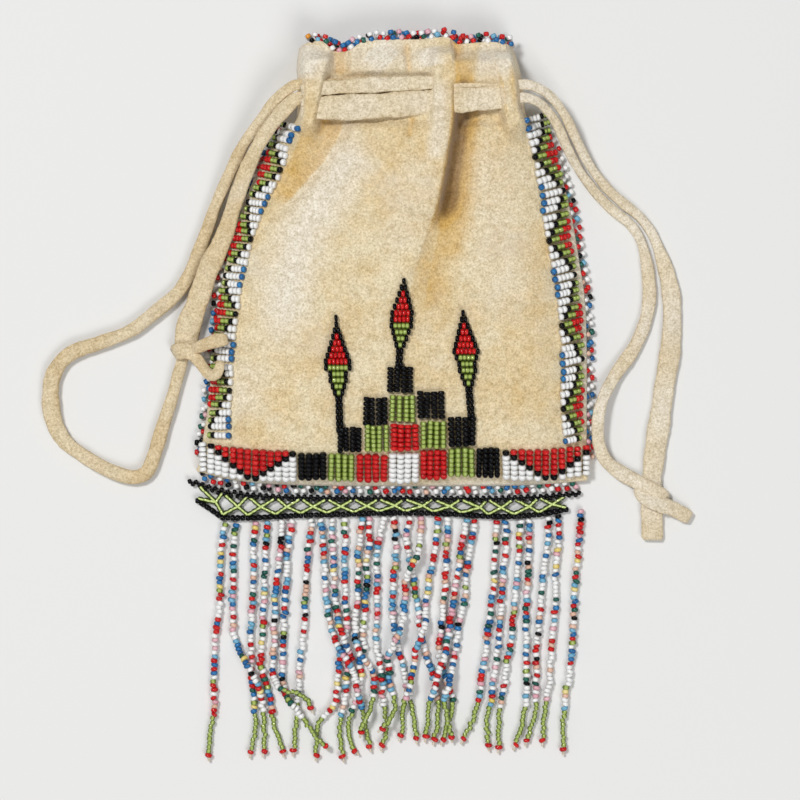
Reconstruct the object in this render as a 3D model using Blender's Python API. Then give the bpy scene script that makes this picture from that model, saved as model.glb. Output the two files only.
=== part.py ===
"""Drawstring pouch of soft tanned hide with glass seed beadwork, a beaded net and a strung fringe.

It lies flat on its back: X runs across it, +Y points to its mouth and +Z up. The origin is on the
flat underside of the back panel.
"""

import math

import bmesh
import bpy
from mathutils import Vector

MM = 0.001

# The hide body
BODY_WIDTH = 109.2 * MM
BODY_HEIGHT = 123.5 * MM
BOTTOM_Y = -61.9 * MM
HIDE = 1.0 * MM
SEAM_GAP = 0.3 * MM
RIM_GAP = 0.8 * MM
LOFT = 7.9 * MM
SIDE_RISE = 19.0 * MM
BOTTOM_RISE = 16.0 * MM
NECK_SIDE_RISE = 3.0 * MM

# The thongs
THONG = 1.3 * MM
CLEAR = 0.3 * MM
FREE_THONG = 1.6 * MM
STRAP_BEND_SHARE = 0.6

# The beads
BEAD = 1.7 * MM
BORDER_ROW = 2.04 * MM
BEAD_GAP = 0.45 * MM
EDGE_BEAD = 2.0 * MM
NET_THICK = 2.0 * MM
NET_LINE = 1.9 * MM
FRINGE_BEAD = 2.0 * MM
LAYER = 2.7 * MM

# The photograph's scale, and the pixel under the origin
PIXEL = 0.28 * MM
ORIGIN_PX = (393, 264)

# Left and right edge of the hide, as shares of the body's height and width
EDGE_SHARES = [
    (0.00, -0.503, 0.497), (0.05, -0.495, 0.497), (0.10, -0.487, 0.496), (0.17, -0.475, 0.496),
    (0.24, -0.466, 0.496), (0.30, -0.458, 0.496), (0.37, -0.450, 0.494), (0.43, -0.443, 0.490),
    (0.51, -0.426, 0.476), (0.58, -0.404, 0.463), (0.64, -0.380, 0.449), (0.69, -0.357, 0.434),
    (0.74, -0.327, 0.420), (0.77, -0.304, 0.405), (0.80, -0.277, 0.378), (0.825, -0.250, 0.348),
    (0.85, -0.245, 0.338), (0.90, -0.244, 0.333), (0.95, -0.246, 0.322), (1.00, -0.240, 0.305),
]
# How far the rim and the bottom edge stray from straight, as shares of width and height
RIM_SHARES = [
    (-0.26, -0.020), (-0.22, -0.006), (-0.18, -0.002), (-0.15, -0.022), (-0.11, -0.022),
    (-0.08, -0.004), (0.0, 0.002), (0.06, 0.002), (0.14, 0.007), (0.165, -0.007), (0.24, -0.003),
    (0.29, -0.008), (0.34, -0.018),
]
BOTTOM_SHARES = [
    (-0.51, 0.034), (-0.46, 0.022), (-0.41, 0.012), (-0.33, 0.004), (-0.2, -0.001), (0.0, -0.002),
    (0.25, -0.002), (0.4, 0.003), (0.5, 0.011),
]
RIM_BLEND_SHARE = 0.06
NECK_SHARES = (0.76, 0.83)
# Where the rows of edge beads start and end, as shares of height or width
SIDE_EDGING_SHARES = (0.06, 0.80)
BOTTOM_EDGING_SHARES = (-0.485, 0.480)
RIM_EDGING_SHARES = (0.292, -0.218)
EDGING_STEPS = 30

# Where hide lies over the thongs, as shares: left and right side at its low end, the same at its
# high end, and how low and how high it reaches
COVER_SHARES = [
    (-0.236, -0.204, -0.236, -0.158, 0.800, 0.962),
    (0.098, 0.156, 0.098, 0.158, 0.800, 0.975),
    (0.284, 0.322, 0.250, 0.322, 0.805, 0.965),
    (0.120, 0.300, 0.120, 0.300, 0.896, 0.960),
]
COVER_FLANK_SHARE = 0.022
LOW_FLANK_SHARE = 0.03
# The band that both thongs run in, and the edge between them
CHANNEL_SHARES = (0.822, 0.919)
RUN_SPLIT_SHARE = 0.880
RUN_END_SHARES = (-0.222, 0.308)
# The long pleat: its crest at the foot and at the head, its slope to the left and to the right, and
# where it starts and is full
FOLD_SHARES = (0.118, 0.134, 0.075, 0.026, 0.56, 0.79)
FOLD_HEIGHT = 4.0 * MM

# The hide's grid: rows as shares of the height, columns beside the seams as shares of the hide
LOW_ROW_SHARES = [0, 0.012, 0.03, 0.05, 0.075, 0.10, 0.13]
NECK_ROW_SHARE = 0.74
BODY_ROWS = 11
NECK_ROWS = 15
EDGE_COLUMN_SHARES = [0, 1, 2, 3.2, 5, 7.5, 11]
MIDDLE_COLUMNS = 17

# Beadwork places as shares of width and height
BORDER_SHARES = (0.098, 0.776)
# How far a border row drops towards the seam, as a share of its length, from the lowest row up
BORDER_SLANT_SHARES = {
    "left": [(0, 0.0), (0.15, 0.22), (0.5, 0.38), (1, 0.70)],
    "right": [(0, 0.0), (0.5, 0.13), (1, 0.52)],
}
RIB_SHARE = 0.62
# Each section: left and right side, then its low and high line at the left and at the right
LANE_SHARES = {
    "lane_left_beads": (-0.487, -0.246, 0.030, 0.093, 0.012, 0.075),
    "lane_middle_beads": (-0.238, 0.274, 0.011, 0.074, 0.011, 0.074),
    "lane_right_beads": (0.282, 0.487, 0.011, 0.074, 0.018, 0.088),
}
TIER_SHARES = {
    "tier_two_beads": (-0.138, 0.205, 0.078, 0.138, 0.078, 0.138),
    "tier_three_beads": (-0.072, 0.123, 0.142, 0.204, 0.142, 0.204),
    "tier_four_beads": (-0.012, 0.048, 0.208, 0.268, 0.208, 0.268),
}
# Each tip: centre line and half width along its height
FEATHER_SHARES = {
    "left_feather_beads": [
        (0.142, -0.142, 0.010), (0.200, -0.140, 0.010), (0.235, -0.142, 0.020),
        (0.280, -0.144, 0.033), (0.320, -0.144, 0.022), (0.372, -0.143, 0.008),
    ],
    "middle_feather_beads": [
        (0.274, 0.012, 0.010), (0.300, 0.010, 0.014), (0.330, 0.008, 0.022),
        (0.372, 0.012, 0.033), (0.415, 0.020, 0.020), (0.458, 0.028, 0.008),
    ],
    "right_feather_beads": [
        (0.144, 0.200, 0.010), (0.215, 0.199, 0.010), (0.260, 0.196, 0.020),
        (0.308, 0.192, 0.033), (0.345, 0.185, 0.022), (0.386, 0.180, 0.008),
    ],
}

# The net: lattice of beads under the bottom seam
NET_PERIODS = 13
NET_PITCH = 7.35 * MM
NET_LEFT = -50.7 * MM
NET_SIDES = (6.0 * MM, 8.6 * MM)
NET_GAP = 0.6 * MM
# Its openings: half width of a crossing, the diamond's tip heights, the notches' reach and heights
NET_WING_SHARE = 0.65
NET_DIAMOND_SHARES = (0.33, 0.5, 0.67)
NET_NOTCH_SHARE = 0.28
NET_NOTCH_SHARES = ((0.22, 0.36), (0.78, 0.64))
NET_DROP_SHARES = [
    (-0.54, 0.035), (-0.49, 0.050), (-0.44, 0.072), (-0.36, 0.061), (-0.25, 0.049), (-0.13, 0.044),
    (0.01, 0.040), (0.15, 0.042), (0.25, 0.049), (0.36, 0.049), (0.45, 0.040), (0.51, 0.032),
]

# Free strands, as points of the photograph: x, y and the layer that the strand lies on
FRINGE_ROUTES_PX = [
    [(227, 524, 0), (222, 540, 0), (221, 570, 0), (220, 600, 0), (216, 632, 0), (215, 660, 0),
     (214, 690, 0), (215, 711, 0), (211, 726, 0), (210, 745, 0), (209, 761, 0)],
    [(236, 525, 0), (234, 545, 0), (233, 590, 0), (233, 625, 0), (236, 640, 0), (241, 652, 0.3),
     (246, 660, 0.9), (250, 667, 1.1), (254, 675, 1.1), (258, 683, 1), (261, 692, 0.6),
     (262, 702, 0), (263, 714, 0), (265, 734, 0), (263, 757, 0)],
    [(257, 524, 0), (254, 540, 0), (253, 570, 0), (253, 600, 0), (251, 632, 0), (251, 655, 0),
     (252, 680, 0), (253, 696, 0), (255, 712, 0), (256, 728, 0), (253, 744, 0), (250, 758, 0)],
    [(268, 523, 0), (267, 540, 0), (265, 575, 0), (264, 610, 0), (262, 640, 0), (261, 664, 0),
     (266, 682, 0), (270, 698, 0), (272, 712, 0), (276, 730, 0), (281, 743, 0), (284, 757, 0)],
    [(283, 522, 0), (281, 543, 0), (278, 570, 0), (275, 600, 0), (274, 640, 0), (273, 668, 0),
     (273, 676, 0), (276, 683, 0.5), (280, 687, 1), (286, 690, 1.1), (292, 691, 1.1),
     (298, 692, 1.1), (304, 695, 0.8), (309, 702, 0.2), (313, 713, 0)],
    [(293, 523, 0), (288, 548, 0), (287, 578, 0), (285, 610, 0), (283, 640, 0), (283, 678, 0),
     (285, 692, 0), (288, 698, 0.6), (292, 702, 1), (297, 708, 1.1), (302, 715, 1), (307, 723, 0.6),
     (311, 729, 0.8), (315, 734, 1.1), (320, 740, 1.1), (325, 745, 0.8), (329, 749, 0.4)],
    [(312, 519, 0), (309, 545, 0), (306, 575, 0), (305, 610, 0), (302, 646, 0), (299, 674, 0),
     (298, 694, 0), (298, 708, 0), (296, 722, 0), (295, 736, 0), (293, 756, 0)],
    [(320, 518, 0), (323, 540, 0), (325, 570, 0), (325, 590, 0), (328, 610, 0), (331, 626, 0),
     (335, 640, 0.6), (340, 649, 1.1), (345, 657, 1.2), (350, 664, 1.2), (354, 671, 0.7),
     (356, 678, 0.6), (357, 686, 1.1), (358, 694, 1.1), (361, 702, 0.6), (363, 710, 0),
     (365, 722, 0), (368, 736, 0), (371, 752, 0)],
    [(332, 518, 0), (332, 540, 0), (334, 570, 0), (335, 595, 0), (337, 610, 0), (338, 619, 0.4),
     (341, 628, 0.9), (344, 637, 1.1), (347, 645, 1), (350, 653, 0.4), (350, 661, 0), (346, 680, 0),
     (345, 700, 0), (341, 716, 0), (340, 728, 0), (341, 742, 0), (344, 762, 0)],
    [(344, 518, 0), (345, 540, 0), (344, 565, 0), (345, 590, 0), (346, 612, 0), (346, 630, 0),
     (343, 642, 0), (340, 655, 0), (338, 672, 0), (337, 690, 0), (334, 706, 0), (325, 716, 0),
     (318, 724, 0), (317, 740, 0), (316, 761, 0)],
    [(362, 518, 0), (359, 545, 0), (358, 575, 0), (357, 605, 0), (355, 622, 0), (355, 634, 0.1),
     (356, 642, 0.6), (358, 649, 1.1), (362, 655, 1.1), (366, 661, 1), (370, 667, 0.4),
     (374, 675, 0), (375, 684, 0), (373, 697, 0.1), (370, 707, 0.6), (368, 714, 1.1),
     (364, 721, 1.1), (361, 729, 0.8), (360, 737, 0.6)],
    [(370, 518, 0), (369, 540, 0), (367, 565, 0), (366, 590, 0), (365, 615, 0), (363, 634, 0),
     (365, 646, 0), (361, 656, 0), (360, 665, 0), (362, 675, 0), (360, 687, 0), (356, 698, 0),
     (353, 708, 0), (350, 720, 0), (349, 732, 0), (352, 745, 0), (359, 755, 0)],
    [(384, 517, 0), (380, 536, 0), (377, 560, 0), (377, 590, 0), (377, 620, 0), (376, 640, 0),
     (378, 655, 0), (382, 674, 0), (383, 700, 0), (386, 720, 0), (385, 736, 0), (381, 751, 0)],
    [(394, 517, 0), (396, 545, 0), (394, 575, 0), (392, 605, 0), (394, 628, 0), (396, 641, 0),
     (400, 654, 0), (404, 670, 0), (406, 684, 0), (409, 694, 0), (412, 706, 0), (414, 722, 0),
     (417, 744, 0)],
    [(410, 517, 0), (407, 535, 0), (408, 552, 0), (412, 566, 0), (414, 582, 0), (417, 604, 0),
     (419, 622, 0), (422, 638, 0), (427, 658, 0), (433, 676, 0), (436, 690, 0), (438, 706, 0),
     (437, 724, 0), (433, 745, 0)],
    [(421, 517, 0), (421, 534, 0), (420, 543, 0.4), (418, 551, 0.9), (415, 559, 1.1),
     (411, 567, 1.1), (408, 574, 0.8), (405, 583, 0.2), (405, 596, 0), (404, 611, 0),
     (403, 620, 0.4), (401, 628, 0.9), (398, 636, 1.1), (394, 643, 1.1), (391, 650, 0.7),
     (388, 660, 0.1), (389, 672, 0), (391, 686, 0), (394, 700, 0), (395, 709, 0.3),
     (392, 716, 0.9), (388, 721, 1.1), (383, 726, 1.1), (378, 731, 0.8)],
    [(439, 517, 0), (436, 535, 0), (434, 556, 0), (430, 574, 0), (427, 594, 0), (426, 610, 0),
     (426, 619, 0.4), (424, 628, 0.9), (421, 636, 1.1), (418, 643, 1.1), (415, 650, 0.7),
     (414, 660, 0), (413, 669, 0.1), (412, 676, 0.5), (410, 684, 1), (408, 691, 1.1),
     (405, 699, 0.9), (403, 707, 0.3), (403, 717, 0), (402, 728, 0), (399, 741, 0)],
    [(448, 518, 0), (447, 540, 0), (446, 570, 0), (444, 600, 0), (441, 626, 0), (439, 645, 0),
     (440, 658, 0), (443, 670, 0), (448, 684, 0), (452, 698, 0), (453, 709, 0), (449, 720, 0),
     (445, 733, 0), (441, 745, 0)],
    [(467, 517, 0), (462, 540, 0), (458, 568, 0), (454, 598, 0), (450, 620, 0), (448, 636, 0),
     (447, 645, 0.4), (446, 652, 0.9), (443, 659, 1.1), (439, 667, 1.1), (438, 675, 1.1),
     (436, 682, 1.1), (433, 689, 1.1), (431, 696, 0.8), (429, 705, 0.1), (428, 724, 0),
     (425, 742, 0)],
    [(475, 521, 0), (471, 542, 0), (467, 570, 0), (464, 600, 0), (459, 622, 0), (457, 640, 0),
     (454, 656, 0), (453, 665, 0.4), (451, 673, 0.9), (449, 681, 1.1), (447, 688, 1.1),
     (445, 695, 0.8), (445, 703, 0.5), (446, 711, 0.8), (447, 718, 1.1), (449, 725, 1.1),
     (451, 733, 0.6), (452, 742, 0.2)],
    [(496, 518, 0), (496, 545, 0), (494, 574, 0), (492, 600, 0), (488, 627, 0), (486, 645, 0),
     (483, 668, 0), (480, 690, 0), (476, 710, 0), (469, 728, 0), (461, 744, 0)],
    [(506, 518, 0), (506, 545, 0), (503, 572, 0), (501, 600, 0), (499, 636, 0), (495, 666, 0),
     (493, 684, 0), (491, 700, 0), (486, 720, 0), (488, 736, 0), (489, 751, 0)],
    [(521, 519, 0), (519, 545, 0), (517, 575, 0), (514, 606, 0), (511, 640, 0), (506, 666, 0),
     (504, 690, 0), (500, 706, 0), (499, 726, 0), (498, 753, 0)],
    [(530, 519, 0), (528, 550, 0), (527, 590, 0), (526, 620, 0), (526, 646, 0), (526, 670, 0),
     (526, 694, 0), (524, 714, 0), (520, 732, 0), (513, 750, 0)],
    [(549, 518, 0), (547, 545, 0), (543, 575, 0), (540, 610, 0), (537, 640, 0), (536, 670, 0),
     (536, 700, 0), (533, 718, 0), (529, 732, 0), (525, 746, 0)],
    [(559, 517, 0), (558, 545, 0), (555, 575, 0), (555, 606, 0), (553, 636, 0), (550, 665, 0),
     (549, 685, 0), (546, 702, 0), (544, 722, 0), (542, 746, 0)],
    [(581, 515, 0), (579, 540, 0), (576, 570, 0), (574, 604, 0), (572, 640, 0), (569, 674, 0),
     (565, 698, 0), (563, 722, 0), (563, 755, 0)],
]
# Thong strands: x and y in pixels, height, width and thickness in millimetres
THONG_ROUTES_PX = {
    "left_outer_strand": [
        (372, 88, 11.15, 3.1, 1.3), (330, 88, 11.15, 3.1, 1.3), (300, 88, 11.15, 3.1, 1.3),
        (290, 92, 10.8, 3.1, 1.4), (276, 104, 9.0, 3.2, 1.8), (256, 130, 6.0, 3.3, 2.2),
        (242, 150, 4.4, 3.3, 2.4), (225, 186, 2.6, 3.4, 2.6), (215, 209, 1.9, 3.5, 2.6),
        (207, 232, 1.6, 3.6, 2.6), (199, 252, 1.5, 3.7, 2.6), (189, 276, 1.4, 3.8, 2.6),
        (177, 294, 1.4, 3.8, 2.6), (156, 312, 1.4, 3.8, 2.6), (131, 331, 1.4, 3.8, 2.6),
        (100, 343, 1.4, 3.9, 2.6), (72, 353, 1.4, 4.2, 2.6), (56, 370, 1.4, 4.6, 2.6),
        (51, 392, 1.4, 4.8, 2.6), (54, 420, 1.4, 4.8, 2.6), (65, 441, 1.4, 4.4, 2.6),
        (86, 457, 1.4, 4.0, 2.6), (109, 470, 1.4, 3.9, 2.6), (131, 477, 1.4, 4.2, 2.6),
        (146, 473, 1.4, 4.2, 2.6), (154, 457, 1.4, 4.0, 2.6), (163, 427, 1.4, 3.8, 2.6),
        (172, 399, 1.4, 3.6, 2.6), (178, 377, 1.4, 3.4, 2.4), (182, 364, 1.6, 3.2, 2.2),
    ],
    "left_inner_strand": [
        (372, 102, 11.15, 4.0, 1.3), (330, 102, 11.15, 4.0, 1.3), (300, 102, 11.15, 4.0, 1.3),
        (289, 109, 10.8, 4.0, 1.3), (272, 128, 9.0, 4.0, 1.4), (260, 146, 7.4, 4.0, 1.5),
        (250, 166, 6.2, 4.2, 1.6), (242, 186, 5.6, 4.4, 1.6), (234, 209, 5.2, 4.6, 1.6),
        (227, 231, 4.8, 5.0, 1.6), (219, 250, 4.4, 5.4, 1.6), (210, 268, 4.0, 5.8, 1.6),
        (203, 288, 3.8, 6.2, 1.6), (196, 308, 3.2, 6.4, 1.6), (190, 324, 2.8, 6.0, 1.6),
        (186, 339, 2.6, 4.6, 1.8),
    ],
    "right_outer_strand": [
        (447, 88, 11.15, 2.7, 1.3), (490, 88, 11.15, 2.7, 1.3), (521, 88, 11.15, 2.7, 1.3),
        (533, 90, 10.8, 2.7, 1.4), (549, 99, 9.2, 2.7, 1.6), (564, 118, 7.0, 2.7, 1.8),
        (575, 140, 5.0, 2.7, 2.0), (588, 164, 3.2, 2.7, 2.2), (604, 186, 2.2, 2.8, 2.2),
        (622, 203, 1.5, 2.8, 2.2), (638, 216, 1.3, 2.8, 2.2), (650, 231, 1.2, 2.9, 2.0),
        (658, 248, 1.1, 3.2, 1.8), (665, 268, 1.0, 4.2, 1.6), (670, 290, 1.0, 5.0, 1.6),
        (672, 316, 1.0, 5.4, 1.6), (670, 351, 1.0, 5.6, 1.6), (664, 387, 1.0, 5.6, 1.6),
        (659, 423, 1.0, 5.2, 1.6), (655, 450, 1.0, 4.8, 1.6), (652, 473, 1.3, 4.0, 1.6),
    ],
    "right_inner_strand": [
        (447, 101, 11.15, 2.9, 1.3), (490, 101, 11.15, 2.9, 1.3), (521, 101, 11.15, 2.9, 1.3),
        (532, 103, 10.8, 2.7, 1.4), (542, 109, 9.2, 2.7, 1.6), (555, 125, 7.0, 2.7, 1.8),
        (565, 146, 5.0, 2.7, 2.0), (578, 170, 3.2, 2.7, 2.2), (595, 193, 2.2, 2.8, 2.2),
        (613, 211, 1.5, 2.8, 2.2), (628, 223, 1.3, 2.8, 2.2), (638, 236, 1.2, 2.8, 2.0),
        (644, 252, 1.1, 3.0, 1.8), (648, 275, 1.0, 3.8, 1.6), (649, 300, 1.0, 4.2, 1.6),
        (644, 325, 1.0, 4.4, 1.6), (632, 351, 1.0, 4.6, 1.6), (613, 378, 1.8, 4.6, 1.6),
        (600, 405, 3.9, 4.4, 1.6), (597, 434, 4.1, 4.2, 1.6), (603, 457, 3.7, 4.2, 1.6),
        (618, 471, 2.0, 4.0, 1.6), (637, 482, 1.6, 3.6, 1.6),
    ],
}
# Knots: centre in pixels with its height in millimetres, radii, and tails as strands
KNOTS_PX = {
    "left_knot": {
        "centre": (185, 352, 2.9),
        "radii_mm": (3.4, 3.2, 2.7),
        "tails": [
            [(187, 350, 3.6, 3.0, 1.6), (198, 347, 5.6, 3.6, 1.8), (209, 343, 7.4, 4.2, 1.8),
             (221, 340, 9.0, 4.4, 1.8), (231, 338, 9.8, 3.6, 1.6)],
            [(187, 353, 2.8, 3.0, 1.6), (196, 359, 4.4, 3.4, 1.6), (205, 369, 6.0, 3.6, 1.6),
             (213, 376, 8.0, 3.6, 1.6), (220, 375, 9.4, 3.2, 1.6), (223, 366, 9.8, 2.4, 1.4)],
        ],
    },
    "right_knot": {
        "centre": (651, 489, 2.6),
        "radii_mm": (4.0, 4.2, 2.4),
        "tails": [
            [(652, 490, 3.0, 4.0, 1.8), (668, 501, 2.6, 3.8, 1.8), (680, 510, 1.8, 3.2, 1.6),
             (690, 517, 1.3, 2.4, 1.4)],
            [(651, 490, 1.6, 4.6, 1.8), (651, 508, 1.3, 5.4, 1.6), (652, 524, 1.2, 6.2, 1.6),
             (652, 537, 1.2, 6.2, 1.6)],
        ],
    },
}


def clear_scene():
    for obj in list(bpy.data.objects):
        bpy.data.objects.remove(obj, do_unlink=True)


def material(name, colour, roughness):
    mat = bpy.data.materials.new(name)
    mat.use_nodes = True
    shader = mat.node_tree.nodes["Principled BSDF"]
    shader.inputs["Base Color"].default_value = (*colour, 1)
    shader.inputs["Roughness"].default_value = roughness
    shader.inputs["Metallic"].default_value = 0
    return mat


def smooth(t):
    t = min(max(t, 0), 1)
    return t * t * (3 - 2 * t)


def dome(t):
    t = min(max(t, 0), 1)
    return 1 - (1 - t) ** 2


def follow(table, t, column=1):
    """Value of a column at t, by a smooth curve through the table's rows."""
    if t <= table[0][0]:
        return table[0][column]
    if t >= table[-1][0]:
        return table[-1][column]
    i = next(k for k in range(1, len(table)) if t <= table[k][0]) - 1
    t0, t1 = table[i][0], table[i + 1][0]
    v0, v1 = table[i][column], table[i + 1][column]
    left = table[max(i - 1, 0)]
    right = table[min(i + 2, len(table) - 1)]
    m0 = (v1 - left[column]) / (t1 - left[0]) * (t1 - t0)
    m1 = (right[column] - v0) / (right[0] - t0) * (t1 - t0)
    s = (t - t0) / (t1 - t0)
    return (
        (2 * s**3 - 3 * s**2 + 1) * v0 + (s**3 - 2 * s**2 + s) * m0
        + (-2 * s**3 + 3 * s**2) * v1 + (s**3 - s**2) * m1
    )


def edges_at(y):
    share = (y - BOTTOM_Y) / BODY_HEIGHT
    return (follow(EDGE_SHARES, share, 1) * BODY_WIDTH, follow(EDGE_SHARES, share, 2) * BODY_WIDTH)


def bottom_at(x):
    return BOTTOM_Y + follow(BOTTOM_SHARES, x / BODY_WIDTH) * BODY_HEIGHT


def rim_at(x):
    return BOTTOM_Y + (1 + follow(RIM_SHARES, x / BODY_WIDTH)) * BODY_HEIGHT


def cover(x, y, shrink=0.0):
    """1 where hide lies over the thongs, 0 where it lies under them."""
    best = 0.0
    share = (y - BOTTOM_Y) / BODY_HEIGHT
    for low_left, low_right, high_left, high_right, low, high in COVER_SHARES:
        flank = COVER_FLANK_SHARE * BODY_WIDTH
        low_flank = LOW_FLANK_SHARE * BODY_HEIGHT
        up = min(max((share - low) / (high - low), 0), 1)
        left, right = low_left + (high_left - low_left) * up, low_right + (high_right - low_right) * up
        across = min(x - left * BODY_WIDTH, right * BODY_WIDTH - x) - shrink
        low_y = BOTTOM_Y + low * BODY_HEIGHT
        high_y = BOTTOM_Y + high * BODY_HEIGHT
        along = min(y - low_y, high_y - y) - shrink
        best = max(best, smooth(across / flank + 0.5) * smooth(along / low_flank + 0.5))
    return best


def fold(x, y):
    """The long pleat that runs down from the middle cover."""
    foot, head, left, right, low, high = FOLD_SHARES
    up = ((y - BOTTOM_Y) / BODY_HEIGHT - low) / (high - low)
    off = x / BODY_WIDTH - foot - (head - foot) * min(max(up, 0), 1)
    return smooth(1 + off / left if off < 0 else 1 - off / right) * smooth(up)


def rise(x, y, inset=0.0):
    """How far the front has risen from its seams, 0 at them and 1 in the middle."""
    left, right = edges_at(y)
    share = (y - BOTTOM_Y) / BODY_HEIGHT
    low, high = NECK_SHARES
    neck = smooth((share - low) / (high - low))
    width = SIDE_RISE + (NECK_SIDE_RISE - SIDE_RISE) * neck
    side = min(x - left, right - x) - inset
    bottom = y - bottom_at(x) - inset
    return dome(side / width) * dome(bottom / BOTTOM_RISE)


def front_top(x, y):
    cover_lift = 2 * THONG + 3 * CLEAR + HIDE
    pleat = FOLD_HEIGHT * fold(x, y) * (1 - cover(x, y))
    return 2 * HIDE + SEAM_GAP + rise(x, y) * (LOFT + cover_lift * cover(x, y) + pleat)


def front_under(x, y):
    cover_lift = 2 * THONG + 3 * CLEAR + HIDE
    pleat = FOLD_HEIGHT * fold(x, y) * (1 - cover(x, y))
    lift = cover_lift * cover(x, y, HIDE / 2)
    return HIDE + SEAM_GAP + rise(x, y, HIDE) * (LOFT + lift + pleat)


def back_window(x, y, grow=0.0):
    """1 where the back hide lies over its thong, so inside the neck."""
    low, high = CHANNEL_SHARES
    margin = LOW_FLANK_SHARE * BODY_HEIGHT
    low_y = BOTTOM_Y + low * BODY_HEIGHT - margin
    high_y = BOTTOM_Y + high * BODY_HEIGHT + margin
    left, right = edges_at(y)
    side = smooth((min(x - left, right - x) - NECK_SIDE_RISE + grow) / NECK_SIDE_RISE)
    along = smooth((min(y - low_y, high_y - y) + grow) / margin + 0.5)
    return side * along * (1 - cover(x, y, 0.0 if not grow else HIDE / 2))


def back_under(x, y):
    return (THONG + 2 * CLEAR + HIDE) * back_window(x, y)


def back_top(x, y):
    return HIDE + (THONG + 2 * CLEAR + HIDE) * back_window(x, y, HIDE / 2)


def solid_from_rows(name, rows, top, under, mat):
    """Closed sheet: rows of places between an upper and a lower height function."""
    bm = bmesh.new()
    sheets = []
    for height in (top, under):
        sheets.append([[bm.verts.new((*place[:2], height(*place))) for place in row] for row in rows])
    upper, lower = sheets
    count, width = len(rows), len(rows[0])
    for i in range(count - 1):
        for j in range(width - 1):
            bm.faces.new((upper[i][j], upper[i][j + 1], upper[i + 1][j + 1], upper[i + 1][j]))
            bm.faces.new((lower[i][j], lower[i + 1][j], lower[i + 1][j + 1], lower[i][j + 1]))
    for i in range(count - 1):
        bm.faces.new((lower[i][0], upper[i][0], upper[i + 1][0], lower[i + 1][0]))
        bm.faces.new((upper[i][-1], lower[i][-1], lower[i + 1][-1], upper[i + 1][-1]))
    for j in range(width - 1):
        bm.faces.new((upper[0][j], lower[0][j], lower[0][j + 1], upper[0][j + 1]))
        bm.faces.new((lower[-1][j], upper[-1][j], upper[-1][j + 1], lower[-1][j + 1]))
    return object_from(name, bm, mat)


def object_from(name, bm, mat):
    mesh = bpy.data.meshes.new(name)
    bmesh.ops.triangulate(bm, faces=[f for f in bm.faces if len(f.verts) > 4])
    bm.to_mesh(mesh)
    bm.free()
    mesh.materials.append(mat)
    mesh.shade_smooth()
    mesh.set_sharp_from_angle(angle=math.radians(40))
    obj = bpy.data.objects.new(name, mesh)
    bpy.context.collection.objects.link(obj)
    return obj


def edge_steps():
    return [share * HIDE for share in EDGE_COLUMN_SHARES]


def panel_rows():
    """Grid of the whole hide, close-set near the side seams."""
    rows = []
    for share in row_list():
        y = BOTTOM_Y + share * BODY_HEIGHT
        left, right = edges_at(y)
        steps = edge_steps()
        inner_left, inner_right = left + steps[-1], right - steps[-1]
        middle = [inner_left + (inner_right - inner_left) * k / MIDDLE_COLUMNS
                  for k in range(1, MIDDLE_COLUMNS)]
        xs = [left + s for s in steps] + middle + [right - s for s in reversed(steps)]
        row = []
        for x in xs:
            low = (bottom_at(x) - BOTTOM_Y) * max(0, 1 - share / RIM_BLEND_SHARE)
            high = (rim_at(x) - BOTTOM_Y - BODY_HEIGHT) * max(0, 1 - (1 - share) / RIM_BLEND_SHARE)
            row.append((x, y + low + high))
        rows.append(row)
    return rows


def row_list():
    """Shares of the height for the panels' rows: close at the bottom and in the neck."""
    start = LOW_ROW_SHARES[-1]
    body = [start + (NECK_ROW_SHARE - start) * k / BODY_ROWS for k in range(1, BODY_ROWS)]
    neck = [NECK_ROW_SHARE + (1 - NECK_ROW_SHARE) * k / NECK_ROWS for k in range(NECK_ROWS + 1)]
    return LOW_ROW_SHARES + body + neck


def box(name, low, high, mat=None):
    bm = bmesh.new()
    bmesh.ops.create_cube(bm, size=1)
    for v in bm.verts:
        v.co = [low[i] + (v.co[i] + 0.5) * (high[i] - low[i]) for i in range(3)]
    if mat is None:
        mat = bpy.data.materials.new(name)
    return object_from(name, bm, mat)


def cut(target, cutter):
    """Take the cutter's box away from the target."""
    cutter.hide_render = True
    cutter.display_type = "WIRE"
    boolean = target.modifiers.new("thong_channel", "BOOLEAN")
    boolean.operation = "DIFFERENCE"
    boolean.solver = "EXACT"
    boolean.object = cutter


def channel_y():
    low, high = CHANNEL_SHARES
    return BOTTOM_Y + low * BODY_HEIGHT, BOTTOM_Y + high * BODY_HEIGHT


def panels(hide):
    rows = panel_rows()
    front = solid_from_rows("front_panel", rows, front_top, front_under, hide)
    back = solid_from_rows("back_panel", rows, back_top, back_under, hide)
    low, high = channel_y()
    floor = 2 * HIDE + SEAM_GAP + LOFT
    front_cutter = box(
        "front_channel", (-BODY_WIDTH, low, floor + CLEAR / 2),
        (BODY_WIDTH, high, floor + 2 * THONG + 2.5 * CLEAR),
    )
    cut(front, front_cutter)
    back_cutter = box(
        "back_channel", (-BODY_WIDTH, low, HIDE + CLEAR / 2),
        (BODY_WIDTH, high, HIDE + THONG + 1.5 * CLEAR),
    )
    cut(back, back_cutter)


def neck_runs(hide):
    """The lengths of thong inside the neck, two in front and two behind."""
    low, high = channel_y()
    split = BOTTOM_Y + RUN_SPLIT_SHARE * BODY_HEIGHT
    left, right = (share * BODY_WIDTH for share in RUN_END_SHARES)
    front_z = 2 * HIDE + SEAM_GAP + LOFT + THONG + 2 * CLEAR
    back_z = HIDE + CLEAR
    for side, z in (("front", front_z), ("back", back_z)):
        box(f"lower_{side}_run", (left, low + CLEAR, z), (right, split, z + THONG), hide)
        box(f"upper_{side}_run", (left, split + CLEAR, z), (right, high - CLEAR, z + THONG), hide)


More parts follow.
